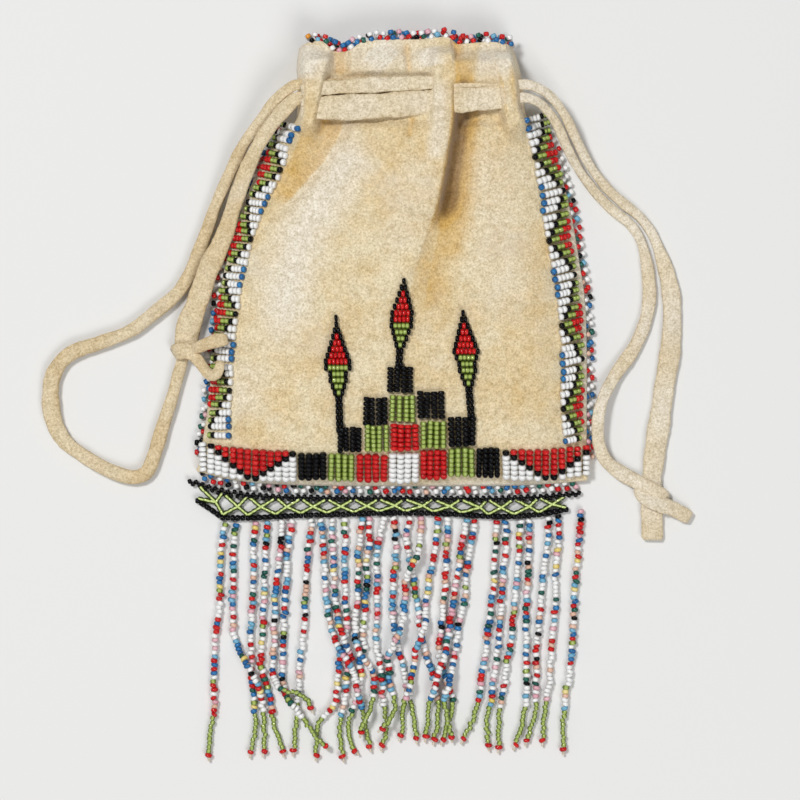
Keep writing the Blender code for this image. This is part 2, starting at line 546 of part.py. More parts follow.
def bead_patch(name, rows, mat):
    """A sewn field of beads lying on the front; a place may name how far the top dips there."""
    return solid_from_rows(
        name, rows,
        lambda x, y, dip=0: front_top(x, y) + BEAD_GAP + BEAD - dip,
        lambda x, y, dip=0: front_top(x, y) + BEAD_GAP,
        mat,
    )


def borders(mat):
    """The rows sewn beside the seams, as ribs on the same grid columns as the hide below them."""
    steps = edge_steps()[1:-1]
    low, high = BORDER_SHARES
    count = round((high - low) * BODY_HEIGHT / BORDER_ROW)
    for side, slants in BORDER_SLANT_SHARES.items():
        rows = []
        for k in range(2 * count + 1):
            up = k / (2 * count)
            dip = 0 if k % 2 else RIB_SHARE * BEAD
            row = []
            for step in steps:
                drop = follow(slants, up) * (steps[-1] - step)
                y = BOTTOM_Y + (low + (high - low) * up) * BODY_HEIGHT - drop
                left, right = edges_at(y)
                row.append((left + step if side == "left" else right - step, y, dip))
            rows.append(row if side == "left" else row[::-1])
        bead_patch(f"{side}_border_beads", rows, mat)


def block(name, shares, columns, count, mat):
    """Field between two side lines, each given by its low and high end."""
    left, right, left_low, left_high, right_low, right_high = shares
    rows = []
    for k in range(count + 1):
        row = []
        for c in range(columns + 1):
            s = c / columns
            low = left_low + (right_low - left_low) * s
            high = left_high + (right_high - left_high) * s
            share = low + (high - low) * k / count
            row.append(((left + (right - left) * s) * BODY_WIDTH, BOTTOM_Y + share * BODY_HEIGHT))
        rows.append(row)
    return bead_patch(name, rows, mat)


def sewn_figures(mat):
    for name, shares in LANE_SHARES.items():
        block(name, shares, 12, 4, mat)
    for name, shares in TIER_SHARES.items():
        block(name, shares, 8, 3, mat)
    for name, table in FEATHER_SHARES.items():
        rows = []
        for share, centre, half in table:
            xs = [centre - half, centre, centre + half]
            rows.append([(x * BODY_WIDTH, BOTTOM_Y + share * BODY_HEIGHT) for x in xs])
        bead_patch(name, rows, mat)


def edge_strip(name, line, gap, height, mat):
    """Row of edge beads: a strip outside a line of (x, y), a gap away from it."""
    bm = bmesh.new()
    rings = []
    for k, (x, y) in enumerate(line):
        before, after = Vector(line[max(k - 1, 0)]), Vector(line[min(k + 1, len(line) - 1)])
        along = (after - before).normalized()
        out = Vector((along.y, -along.x))
        near, far = Vector((x, y)) + out * gap, Vector((x, y)) + out * (gap + EDGE_BEAD)
        low = height(x, y)
        rings.append([
            bm.verts.new((near.x, near.y, low)), bm.verts.new((far.x, far.y, low)),
            bm.verts.new((far.x, far.y, low + EDGE_BEAD)), bm.verts.new((near.x, near.y, low + EDGE_BEAD)),
        ])
    for a, b in zip(rings, rings[1:]):
        for i in range(4):
            j = (i + 1) % 4
            bm.faces.new((a[i], b[i], b[j], a[j]))
    bm.faces.new(rings[0])
    bm.faces.new(list(reversed(rings[-1])))
    bmesh.ops.recalc_face_normals(bm, faces=bm.faces)
    return object_from(name, bm, mat)


def spread(shares, size):
    """Evenly spaced places between two shares of a size."""
    start, end = shares
    return [(start + (end - start) * k / EDGING_STEPS) * size for k in range(EDGING_STEPS + 1)]


def edgings(mat):
    ys = [BOTTOM_Y + height for height in spread(SIDE_EDGING_SHARES, BODY_HEIGHT)]
    low = lambda x, y: SEAM_GAP
    edge_strip("left_edge_beads", [(edges_at(y)[0], y) for y in reversed(ys)], SEAM_GAP, low, mat)
    edge_strip("right_edge_beads", [(edges_at(y)[1], y) for y in ys], SEAM_GAP, low, mat)
    bottom = [(x, bottom_at(x)) for x in spread(BOTTOM_EDGING_SHARES, BODY_WIDTH)]
    edge_strip("bottom_edge_beads", bottom, SEAM_GAP, low, mat)
    rim = [(x, rim_at(x)) for x in spread(RIM_EDGING_SHARES, BODY_WIDTH)]
    front_mid = lambda x, y: (front_top(x, y) + front_under(x, y) - EDGE_BEAD) / 2
    edge_strip("front_rim_beads", rim, RIM_GAP, front_mid, mat)
    edge_strip("back_rim_beads", rim, RIM_GAP, low, mat)


def net_lines(x):
    """Top and bottom line of the net at x."""
    top = bottom_at(x) - SEAM_GAP - EDGE_BEAD - NET_GAP
    drop = follow(NET_DROP_SHARES, x / BODY_WIDTH) * BODY_HEIGHT
    return top, top - drop


def add_loop(bm, points):
    verts = [bm.verts.new((x, y, 0)) for x, y in points]
    for a, b in zip(verts, verts[1:] + verts[:1]):
        bm.edges.new((a, b))


def bead_net(mat):
    """The netted band: two bead rows with a chain of diamonds between them, cut out as real gaps."""
    bm = bmesh.new()
    ends = NET_LEFT - NET_SIDES[0], NET_LEFT + NET_PERIODS * NET_PITCH + NET_SIDES[1]
    steps = 2 * NET_PERIODS + 2
    xs = [ends[0] + (ends[1] - ends[0]) * k / steps for k in range(steps + 1)]
    add_loop(bm, [(x, net_lines(x)[0]) for x in xs] + [(x, net_lines(x)[1]) for x in reversed(xs)])

    def at(x, depth):
        top, low = net_lines(x)
        return x, top + (low - top) * depth

    wing = NET_LINE * NET_WING_SHARE
    high, middle, low = NET_DIAMOND_SHARES
    for k in range(NET_PERIODS):
        x0 = NET_LEFT + k * NET_PITCH
        mid, x1 = x0 + NET_PITCH / 2, x0 + NET_PITCH
        add_loop(bm, [at(x0 + wing, middle), at(mid, high), at(x1 - wing, middle), at(mid, low)])
    reach = NET_PITCH * NET_NOTCH_SHARE
    for k in range(1, NET_PERIODS):
        x0 = NET_LEFT + k * NET_PITCH
        for edge, tip in NET_NOTCH_SHARES:
            add_loop(bm, [at(x0 - reach, edge), at(x0, tip), at(x0 + reach, edge)])
    bmesh.ops.triangle_fill(bm, edges=bm.edges[:], use_beauty=True)
    bmesh.ops.recalc_face_normals(bm, faces=bm.faces)
    if sum(f.normal.z for f in bm.faces) > 0:
        bmesh.ops.reverse_faces(bm, faces=bm.faces)
    grown = bmesh.ops.extrude_face_region(bm, geom=bm.faces[:])
    for item in grown["geom"]:
        if isinstance(item, bmesh.types.BMVert):
            item.co.z += NET_THICK
    bmesh.ops.recalc_face_normals(bm, faces=bm.faces)
    return object_from("bead_net", bm, mat)


def to_metres(px, py):
    return (px - ORIGIN_PX[0]) * PIXEL, (ORIGIN_PX[1] - py) * PIXEL


def smooth_route(points, spacing):
    """Evenly spaced places on a smooth curve through the points, each a tuple of numbers."""
    dense = []
    for i in range(len(points) - 1):
        p0, p1 = points[max(i - 1, 0)], points[i]
        p2, p3 = points[i + 1], points[min(i + 2, len(points) - 1)]
        for k in range(12):
            t = k / 12
            dense.append(tuple(
                0.5 * (2 * b + (c - a) * t + (2 * a - 5 * b + 4 * c - d) * t * t
                       + (3 * b - a - 3 * c + d) * t**3)
                for a, b, c, d in zip(p0, p1, p2, p3)
            ))
    dense.append(tuple(points[-1]))
    lengths = [0.0]
    for a, b in zip(dense, dense[1:]):
        lengths.append(lengths[-1] + (Vector(b[:3]) - Vector(a[:3])).length)
    count = max(2, round(lengths[-1] / spacing))
    places = []
    for k in range(count + 1):
        want = lengths[-1] * k / count
        i = min(next((n for n, s in enumerate(lengths) if s >= want), len(dense) - 1), len(dense) - 1)
        i = max(i, 1)
        span = lengths[i] - lengths[i - 1]
        f = (want - lengths[i - 1]) / span if span else 0
        places.append(tuple(a + (b - a) * f for a, b in zip(dense[i - 1], dense[i])))
    return places


def fringe_strand(name, route, mat):
    points = [(*to_metres(px, py), FRINGE_BEAD / 2 + layer * LAYER) for px, py, layer in route]
    top_x = points[0][0]
    points[0] = (top_x, net_lines(top_x)[1] - 2 * CLEAR, FRINGE_BEAD / 2)
    places = smooth_route(points, 2 * FRINGE_BEAD)
    curve = bpy.data.curves.new(name, "CURVE")
    curve.dimensions = "3D"
    curve.bevel_depth = FRINGE_BEAD / 2
    curve.bevel_resolution = 1
    curve.use_fill_caps = True
    spline = curve.splines.new("POLY")
    spline.points.add(len(places) - 1)
    for point, place in zip(spline.points, places):
        point.co = (*place, 1)
    curve.materials.append(mat)
    obj = bpy.data.objects.new(name, curve)
    bpy.context.collection.objects.link(obj)
    return obj


def ribbon_mesh(bm, route, spacing):
    """Strap with rounded sides along a route of (x, y, height, width, thickness)."""
    points = [(*to_metres(px, py), z * MM, w * MM, t * MM) for px, py, z, w, t in route]
    places = smooth_route(points, spacing)
    rings = []
    for k, place in enumerate(places):
        here = Vector(place[:3])
        before, after = Vector(places[max(k - 1, 0)][:3]), Vector(places[min(k + 1, len(places) - 1)][:3])
        along = (after - before).normalized()
        side = along.cross(Vector((0, 0, 1))).normalized()
        up = side.cross(along)
        half, thick = place[3] / 2, place[4] / 2
        bend = min(thick, half) * STRAP_BEND_SHARE
        outline = [(half, -thick + bend), (half, thick - bend), (half - bend, thick),
                   (bend - half, thick), (-half, thick - bend), (-half, -thick + bend),
                   (bend - half, -thick), (half - bend, -thick)]
        rings.append([bm.verts.new(here + side * a + up * b) for a, b in outline])
    for a, b in zip(rings, rings[1:]):
        for i in range(8):
            j = (i + 1) % 8
            bm.faces.new((a[i], a[j], b[j], b[i]))
    bm.faces.new(rings[0])
    bm.faces.new(list(reversed(rings[-1])))


def strand(name, route, mat):
    bm = bmesh.new()
    ribbon_mesh(bm, route, 3 * FREE_THONG)
    bmesh.ops.recalc_face_normals(bm, faces=bm.faces)
    return object_from(name, bm, mat)


def knot(name, shape, mat):
    """The tied lump, with its loose tails joined on."""
    bm = bmesh.new()
    bmesh.ops.create_uvsphere(bm, u_segments=12, v_segments=8, radius=1)
    x, y, z = shape["centre"]
    place = Vector((*to_metres(x, y), z * MM))
    for v in bm.verts:
        v.co = Vector([v.co[i] * shape["radii_mm"][i] * MM for i in range(3)]) + place
    body = object_from(name, bm, mat)
    for k, tail in enumerate(shape["tails"]):
        bm = bmesh.new()
        ribbon_mesh(bm, tail, 3 * FREE_THONG)
        bmesh.ops.recalc_face_normals(bm, faces=bm.faces)
        piece = object_from(f"{name}_tail_{k}", bm, mat)
        piece.hide_render = True
        piece.display_type = "WIRE"
        join = body.modifiers.new(f"tail_{k}", "BOOLEAN")
        join.operation = "UNION"
        join.solver = "EXACT"
        join.object = piece


def main():
    clear_scene()
    hide = material("hide", (0.62, 0.50, 0.32), 0.95)
    beads = material("sewn_beads", (0.75, 0.73, 0.68), 0.25)
    edging = material("edge_beads", (0.45, 0.10, 0.10), 0.25)
    net = material("net_beads", (0.05, 0.09, 0.02), 0.2)
    fringe = material("fringe_beads", (0.60, 0.58, 0.60), 0.25)
    panels(hide)
    neck_runs(hide)
    borders(beads)
    sewn_figures(beads)
    edgings(edging)
    bead_net(net)
    for number, route in enumerate(FRINGE_ROUTES_PX, 1):
        fringe_strand(f"fringe_strand_{number:02d}", route, fringe)
    for name, route in THONG_ROUTES_PX.items():
        strand(name, route, hide)
    for name, shape in KNOTS_PX.items():
        knot(name, shape, hide)


main()
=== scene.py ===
"""Beaded drawstring pouch: suede hide, sewn seed beads, a netted band, a strung fringe and two thongs."""

import math
import random

import bmesh
import bpy
from mathutils import Matrix, Vector


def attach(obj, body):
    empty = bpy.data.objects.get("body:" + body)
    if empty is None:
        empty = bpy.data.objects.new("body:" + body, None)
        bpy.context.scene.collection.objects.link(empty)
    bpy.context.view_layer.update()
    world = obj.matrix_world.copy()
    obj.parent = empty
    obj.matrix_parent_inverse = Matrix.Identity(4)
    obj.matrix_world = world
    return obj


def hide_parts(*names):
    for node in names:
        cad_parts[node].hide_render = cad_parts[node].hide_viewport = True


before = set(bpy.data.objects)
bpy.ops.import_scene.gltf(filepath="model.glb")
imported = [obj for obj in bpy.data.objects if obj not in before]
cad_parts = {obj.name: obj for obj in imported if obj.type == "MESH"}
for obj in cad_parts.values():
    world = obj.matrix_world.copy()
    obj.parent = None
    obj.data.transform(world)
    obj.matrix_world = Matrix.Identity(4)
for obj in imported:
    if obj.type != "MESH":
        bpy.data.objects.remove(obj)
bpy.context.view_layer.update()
MM = 0.001
UP = Vector((0, 0, 1))

# The photograph's scale, and the pixel over the origin
PIXEL = 0.28 * MM
ORIGIN_PX = (393, 264)

# The hide body, as in the part's source
BODY_WIDTH = 109.2 * MM
BODY_HEIGHT = 123.5 * MM
BOTTOM_Y = -61.9 * MM
HIDE = 1.0 * MM
SEAM_GAP = 0.3 * MM
LOFT = 7.9 * MM
SIDE_RISE = 19.0 * MM
BOTTOM_RISE = 16.0 * MM
NECK_SIDE_RISE = 3.0 * MM
THONG = 1.3 * MM
CLEAR = 0.3 * MM
FRINGE_TUBE = 2.0 * MM
LAYER = 2.7 * MM
THREAD = 0.7 * MM


def to_metres(px, py):
    """Place on the floor of a pixel of the photograph."""
    return (px - ORIGIN_PX[0]) * PIXEL, (ORIGIN_PX[1] - py) * PIXEL


# Camera: straight above, framed as the photograph is
FRAME_PX = 800
LENS = 160
SENSOR = 36
camera_data = bpy.data.cameras.new("camera")
camera_data.sensor_width = SENSOR
camera_data.lens = LENS
camera = bpy.data.objects.new("camera", camera_data)
bpy.context.collection.objects.link(camera)
camera.location = (*to_metres(FRAME_PX / 2, FRAME_PX / 2), FRAME_PX * PIXEL * LENS / SENSOR)
camera_data.clip_start = 10 * MM
bpy.context.scene.camera = camera


def seen_at(px, py, z):
    """Place at height z that the camera sees at a pixel."""
    x, y = to_metres(px, py)
    nearer = 1 - z / camera.location.z
    return Vector((
        camera.location.x + (x - camera.location.x) * nearer,
        camera.location.y + (y - camera.location.y) * nearer, z,
    ))


# The fringe strands' routes: photograph x and y, and the layer where a strand lies over others
FRINGE_ROUTES_PX = [
    [(227, 524), (222, 540), (221, 570), (220, 600), (216, 632), (215, 660), (214, 690), (215, 711),
     (211, 726), (210, 745), (209, 761)],
    [(236, 525), (234, 545), (233, 590), (233, 625), (236, 640), (241, 652, 0.3), (246, 660, 0.9),
     (250, 667, 1.1), (254, 675, 1.1), (258, 683, 1), (261, 692, 0.6), (262, 702), (263, 714), (265, 734),
     (263, 757)],
    [(257, 524), (254, 540), (253, 570), (253, 600), (251, 632), (251, 655), (252, 680), (253, 696),
     (255, 712), (256, 728), (253, 744), (250, 758)],
    [(268, 523), (267, 540), (265, 575), (264, 610), (262, 640), (261, 664), (266, 682), (270, 698),
     (272, 712), (276, 730), (281, 743), (284, 757)],
    [(283, 522), (281, 543), (278, 570), (275, 600), (274, 640), (273, 668), (273, 676), (276, 683, 0.5),
     (280, 687, 1), (286, 690, 1.1), (292, 691, 1.1), (298, 692, 1.1), (304, 695, 0.8), (309, 702, 0.2),
     (313, 713)],
    [(293, 523), (288, 548), (287, 578), (285, 610), (283, 640), (283, 678), (285, 692), (288, 698, 0.6),
     (292, 702, 1), (297, 708, 1.1), (302, 715, 1), (307, 723, 0.6), (311, 729, 0.8), (315, 734, 1.1),
     (320, 740, 1.1), (325, 745, 0.8), (329, 749, 0.4)],
    [(312, 519), (309, 545), (306, 575), (305, 610), (302, 646), (299, 674), (298, 694), (298, 708),
     (296, 722), (295, 736), (293, 756)],
    [(320, 518), (323, 540), (325, 570), (325, 590), (328, 610), (331, 626), (335, 640, 0.6),
     (340, 649, 1.1), (345, 657, 1.2), (350, 664, 1.2), (354, 671, 0.7), (356, 678, 0.6), (357, 686, 1.1),
     (358, 694, 1.1), (361, 702, 0.6), (363, 710), (365, 722), (368, 736), (371, 752)],
    [(332, 518), (332, 540), (334, 570), (335, 595), (337, 610), (338, 619, 0.4), (341, 628, 0.9),
     (344, 637, 1.1), (347, 645, 1), (350, 653, 0.4), (350, 661), (346, 680), (345, 700), (341, 716),
     (340, 728), (341, 742), (344, 762)],
    [(344, 518), (345, 540), (344, 565), (345, 590), (346, 612), (346, 630), (343, 642), (340, 655),
     (338, 672), (337, 690), (334, 706), (325, 716), (318, 724), (317, 740), (316, 761)],
    [(362, 518), (359, 545), (358, 575), (357, 605), (355, 622), (355, 634, 0.1), (356, 642, 0.6),
     (358, 649, 1.1), (362, 655, 1.1), (366, 661, 1), (370, 667, 0.4), (374, 675), (375, 684),
     (373, 697, 0.1), (370, 707, 0.6), (368, 714, 1.1), (364, 721, 1.1), (361, 729, 0.8), (360, 737, 0.6)],
    [(370, 518), (369, 540), (367, 565), (366, 590), (365, 615), (363, 634), (365, 646), (361, 656),
     (360, 665), (362, 675), (360, 687), (356, 698), (353, 708), (350, 720), (349, 732), (352, 745),
     (359, 755)],
    [(384, 517), (380, 536), (377, 560), (377, 590), (377, 620), (376, 640), (378, 655), (382, 674),
     (383, 700), (386, 720), (385, 736), (381, 751)],
    [(394, 517), (396, 545), (394, 575), (392, 605), (394, 628), (396, 641), (400, 654), (404, 670),
     (406, 684), (409, 694), (412, 706), (414, 722), (417, 744)],
    [(410, 517), (407, 535), (408, 552), (412, 566), (414, 582), (417, 604), (419, 622), (422, 638),
     (427, 658), (433, 676), (436, 690), (438, 706), (437, 724), (433, 745)],
    [(421, 517), (421, 534), (420, 543, 0.4), (418, 551, 0.9), (415, 559, 1.1), (411, 567, 1.1),
     (408, 574, 0.8), (405, 583, 0.2), (405, 596), (404, 611), (403, 620, 0.4), (401, 628, 0.9),
     (398, 636, 1.1), (394, 643, 1.1), (391, 650, 0.7), (388, 660, 0.1), (389, 672), (391, 686), (394, 700),
     (395, 709, 0.3), (392, 716, 0.9), (388, 721, 1.1), (383, 726, 1.1), (378, 731, 0.8)],
    [(439, 517), (436, 535), (434, 556), (430, 574), (427, 594), (426, 610), (426, 619, 0.4),
     (424, 628, 0.9), (421, 636, 1.1), (418, 643, 1.1), (415, 650, 0.7), (414, 660), (413, 669, 0.1),
     (412, 676, 0.5), (410, 684, 1), (408, 691, 1.1), (405, 699, 0.9), (403, 707, 0.3), (403, 717),
     (402, 728), (399, 741)],
    [(448, 518), (447, 540), (446, 570), (444, 600), (441, 626), (439, 645), (440, 658), (443, 670),
     (448, 684), (452, 698), (453, 709), (449, 720), (445, 733), (441, 745)],
    [(467, 517), (462, 540), (458, 568), (454, 598), (450, 620), (448, 636), (447, 645, 0.4),
     (446, 652, 0.9), (443, 659, 1.1), (439, 667, 1.1), (438, 675, 1.1), (436, 682, 1.1), (433, 689, 1.1),
     (431, 696, 0.8), (429, 705, 0.1), (428, 724), (425, 742)],
    [(475, 521), (471, 542), (467, 570), (464, 600), (459, 622), (457, 640), (454, 656), (453, 665, 0.4),
     (451, 673, 0.9), (449, 681, 1.1), (447, 688, 1.1), (445, 695, 0.8), (445, 703, 0.5), (446, 711, 0.8),
     (447, 718, 1.1), (449, 725, 1.1), (451, 733, 0.6), (452, 742, 0.2)],
    [(496, 518), (496, 545), (494, 574), (492, 600), (488, 627), (486, 645), (483, 668), (480, 690),
     (476, 710), (469, 728), (461, 744)],
    [(506, 518), (506, 545), (503, 572), (501, 600), (499, 636), (495, 666), (493, 684), (491, 700),
     (486, 720), (488, 736), (489, 751)],
    [(521, 519), (519, 545), (517, 575), (514, 606), (511, 640), (506, 666), (504, 690), (500, 706),
     (499, 726), (498, 753)],
    [(530, 519), (528, 550), (527, 590), (526, 620), (526, 646), (526, 670), (526, 694), (524, 714),
     (520, 732), (513, 750)],
    [(549, 518), (547, 545), (543, 575), (540, 610), (537, 640), (536, 670), (536, 700), (533, 718),
     (529, 732), (525, 746)],
    [(559, 517), (558, 545), (555, 575), (555, 606), (553, 636), (550, 665), (549, 685), (546, 702),
     (544, 722), (542, 746)],
    [(581, 515), (579, 540), (576, 570), (574, 604), (572, 640), (569, 674), (565, 698), (563, 722),
     (563, 755)],
]
# The thongs' free strands: x and y in pixels, then height, width and thickness in millimetres
THONG_ROUTES_PX = {
    "left_outer_strand": [
        (372, 88, 11.15, 3.1, 1.3), (330, 88, 11.15, 3.1, 1.3), (300, 88, 11.15, 3.1, 1.3),
        (290, 92, 10.8, 3.1, 1.4), (276, 104, 9.0, 3.2, 1.8), (256, 130, 6.0, 3.3, 2.2),
        (242, 150, 4.4, 3.3, 2.4), (225, 186, 2.6, 3.4, 2.6), (215, 209, 1.9, 3.5, 2.6),
        (207, 232, 1.6, 3.6, 2.6), (199, 252, 1.5, 3.7, 2.6), (189, 276, 1.4, 3.8, 2.6),
        (177, 294, 1.4, 3.8, 2.6), (156, 312, 1.4, 3.8, 2.6), (131, 331, 1.4, 3.8, 2.6),
        (100, 343, 1.4, 3.9, 2.6), (72, 353, 1.4, 4.2, 2.6), (56, 370, 1.4, 4.6, 2.6),
        (51, 392, 1.4, 4.8, 2.6), (54, 420, 1.4, 4.8, 2.6), (65, 441, 1.4, 4.4, 2.6),
        (86, 457, 1.4, 4.0, 2.6), (109, 470, 1.4, 3.9, 2.6), (131, 477, 1.4, 4.2, 2.6),
        (146, 473, 1.4, 4.2, 2.6), (154, 457, 1.4, 4.0, 2.6), (163, 427, 1.4, 3.8, 2.6),
        (172, 399, 1.4, 3.6, 2.6), (178, 377, 1.4, 3.4, 2.4), (182, 364, 1.6, 3.2, 2.2),
    ],
    "left_inner_strand": [
        (372, 102, 11.15, 4.0, 1.3), (330, 102, 11.15, 4.0, 1.3), (300, 102, 11.15, 4.0, 1.3),
        (289, 109, 10.8, 4.0, 1.3), (272, 128, 9.0, 4.0, 1.4), (260, 146, 7.4, 4.0, 1.5),
        (250, 166, 6.2, 4.2, 1.6), (242, 186, 5.6, 4.4, 1.6), (234, 209, 5.2, 4.6, 1.6),
        (227, 231, 4.8, 5.0, 1.6), (219, 250, 4.4, 5.4, 1.6), (210, 268, 4.0, 5.8, 1.6),
        (203, 288, 3.8, 6.2, 1.6), (196, 308, 3.2, 6.4, 1.6), (190, 324, 2.8, 6.7, 1.6),
        (187, 339, 2.6, 6.6, 1.6),
    ],
    "right_outer_strand": [
        (447, 88, 11.15, 2.7, 1.3), (490, 88, 11.15, 2.7, 1.3), (521, 88, 11.15, 2.7, 1.3),
        (533, 90, 10.8, 2.7, 1.4), (549, 99, 9.2, 2.7, 1.6), (564, 118, 7.0, 2.7, 1.8),
        (575, 140, 5.0, 2.7, 2.0), (588, 164, 3.2, 2.7, 2.2), (604, 186, 2.2, 2.8, 2.2),
        (622, 203, 1.5, 2.8, 2.2), (638, 216, 1.3, 2.8, 2.2), (650, 231, 1.2, 2.9, 2.0),
        (658, 248, 1.1, 3.2, 1.8), (665, 268, 1.0, 4.2, 1.6), (670, 290, 1.0, 5.0, 1.6),
        (672, 316, 1.0, 5.4, 1.6), (670, 351, 1.0, 5.6, 1.6), (664, 387, 1.0, 5.8, 1.6),
        (659, 423, 1.0, 6.0, 1.6), (655, 450, 1.0, 6.1, 1.6), (652, 473, 1.3, 5.8, 1.6),
    ],
    "right_inner_strand": [
        (447, 101, 11.15, 2.9, 1.3), (490, 101, 11.15, 2.9, 1.3), (521, 101, 11.15, 2.9, 1.3),
        (532, 103, 10.8, 2.7, 1.4), (542, 109, 9.2, 2.7, 1.6), (555, 125, 7.0, 2.7, 1.8),
        (565, 146, 5.0, 2.7, 2.0), (578, 170, 3.2, 2.7, 2.2), (595, 193, 2.2, 2.8, 2.2),
        (613, 211, 1.5, 2.8, 2.2), (628, 223, 1.3, 2.8, 2.2), (638, 236, 1.2, 2.8, 2.0),
        (644, 252, 1.1, 3.0, 1.8), (648, 275, 1.0, 3.6, 1.6), (649, 300, 1.0, 3.8, 1.6),
        (644, 325, 1.0, 3.8, 1.6), (632, 351, 1.0, 3.8, 1.6), (613, 378, 1.8, 3.6, 1.6),
        (600, 405, 3.9, 3.4, 1.6), (597, 434, 4.1, 3.4, 1.6), (603, 457, 3.7, 3.7, 1.6),
        (618, 471, 2.0, 4.2, 1.6), (637, 482, 1.6, 4.2, 1.6),
    ],
}


def follow(table, t, column=1):
    """Value of a column at t, on a smooth curve through the table's rows."""
    if t <= table[0][0]:
        return table[0][column]
    if t >= table[-1][0]:
        return table[-1][column]
    i = next(k for k in range(1, len(table)) if t <= table[k][0]) - 1
    t0, t1 = table[i][0], table[i + 1][0]
    v0, v1 = table[i][column], table[i + 1][column]
    left = table[max(i - 1, 0)]
    right = table[min(i + 2, len(table) - 1)]
    m0 = (v1 - left[column]) / (t1 - left[0]) * (t1 - t0)
    m1 = (right[column] - v0) / (right[0] - t0) * (t1 - t0)
    s = (t - t0) / (t1 - t0)
    return (
        (2 * s**3 - 3 * s**2 + 1) * v0 + (s**3 - 2 * s**2 + s) * m0
        + (-2 * s**3 + 3 * s**2) * v1 + (s**3 - s**2) * m1
    )


def held(t):
    """The number itself between 0 and 1, or the nearer end."""
    return min(max(t, 0), 1)


def smooth(t):
    t = held(t)
    return t * t * (3 - 2 * t)


def dome(t):
    return 1 - (1 - held(t)) ** 2


# Steps between two points of a route before its places are spaced evenly
ROUTE_STEPS = 12


def smooth_route(points, spacing):
    """Evenly spaced places on a smooth curve through the points, each a tuple of numbers."""
    dense = []
    for i in range(len(points) - 1):
        p0, p1 = points[max(i - 1, 0)], points[i]
        p2, p3 = points[i + 1], points[min(i + 2, len(points) - 1)]
        for k in range(ROUTE_STEPS):
            t = k / ROUTE_STEPS
            dense.append(tuple(
                0.5 * (2 * b + (c - a) * t + (2 * a - 5 * b + 4 * c - d) * t * t
                       + (3 * b - a - 3 * c + d) * t**3)
                for a, b, c, d in zip(p0, p1, p2, p3)
            ))
    dense.append(tuple(points[-1]))
    lengths = [0.0]
    for a, b in zip(dense, dense[1:]):
        lengths.append(lengths[-1] + (Vector(b[:3]) - Vector(a[:3])).length)
    count = max(2, round(lengths[-1] / spacing))
    places, i = [], 1
    for k in range(count + 1):
        want = lengths[-1] * k / count
        while i < len(dense) - 1 and lengths[i] < want:
            i += 1
        span = lengths[i] - lengths[i - 1]
        f = (want - lengths[i - 1]) / span if span else 0
        places.append(tuple(a + (b - a) * f for a, b in zip(dense[i - 1], dense[i])))
    return places


def link(name, mesh, *materials):
    for mat in materials:
        mesh.materials.append(mat)
    obj = bpy.data.objects.new(name, mesh)
    bpy.context.collection.objects.link(obj)
    return obj


def mesh_from(name, bm):
    mesh = bpy.data.meshes.new(name)
    bm.to_mesh(mesh)
    bm.free()
    mesh.shade_smooth()
    return mesh


# Shapes of the hide, as shares of its width and height, as in the part's source
EDGE_SHARES = [
    (0.00, -0.503, 0.497), (0.05, -0.495, 0.497), (0.10, -0.487, 0.496), (0.17, -0.475, 0.496),
    (0.24, -0.466, 0.496), (0.30, -0.458, 0.496), (0.37, -0.450, 0.494), (0.43, -0.443, 0.490),
    (0.51, -0.426, 0.476), (0.58, -0.404, 0.463), (0.64, -0.380, 0.449), (0.69, -0.357, 0.434),
    (0.74, -0.327, 0.420), (0.77, -0.304, 0.405), (0.80, -0.277, 0.378), (0.825, -0.250, 0.348),
    (0.85, -0.245, 0.338), (0.90, -0.244, 0.333), (0.95, -0.246, 0.322), (1.00, -0.240, 0.305),
]
RIM_SHARES = [
    (-0.26, -0.020), (-0.22, -0.006), (-0.18, -0.002), (-0.15, -0.022), (-0.11, -0.022),
    (-0.08, -0.004), (0.0, 0.002), (0.06, 0.002), (0.14, 0.007), (0.165, -0.007), (0.24, -0.003),
    (0.29, -0.008), (0.34, -0.018),
]
BOTTOM_SHARES = [
    (-0.51, 0.034), (-0.46, 0.022), (-0.41, 0.012), (-0.33, 0.004), (-0.2, -0.001), (0.0, -0.002),
    (0.25, -0.002), (0.4, 0.003), (0.5, 0.011),
]
RIM_BLEND_SHARE = 0.06
NECK_SHARES = (0.76, 0.83)
COVER_SHARES = [
    (-0.262, -0.200, -0.300, -0.158, 0.785, 0.962),
    (0.098, 0.156, 0.098, 0.158, 0.790, 0.975),
    (0.286, 0.333, 0.250, 0.400, 0.785, 0.965),
    (0.120, 0.300, 0.120, 0.300, 0.896, 0.960),
]
COVER_FLANK_SHARE = 0.022
LOW_FLANK_SHARE = 0.03
LOW_END_SHARE = 0.07
CHANNEL_SHARES = (0.822, 0.919)
RUN_SPLIT_SHARE = 0.880
RUN_END_SHARES = (-0.222, 0.308)
# The collar and the body swell beside the slits: where the swell starts and ends, and its height
SWELL_SHARES = (0.70, 0.79, 0.812, 0.926, 0.945, 0.985)
SWELL = 1.5 * MM


def share_at(y):
    """Share of the body's height at y."""
    return (y - BOTTOM_Y) / BODY_HEIGHT


def y_at(share):
    return BOTTOM_Y + share * BODY_HEIGHT


def edges_at(y):
    """Left and right edge of the body at y."""
    share = share_at(y)
    return follow(EDGE_SHARES, share, 1) * BODY_WIDTH, follow(EDGE_SHARES, share, 2) * BODY_WIDTH


def bottom_at(x):
    return y_at(follow(BOTTOM_SHARES, x / BODY_WIDTH))


def rim_at(x):
    return y_at(1 + follow(RIM_SHARES, x / BODY_WIDTH))


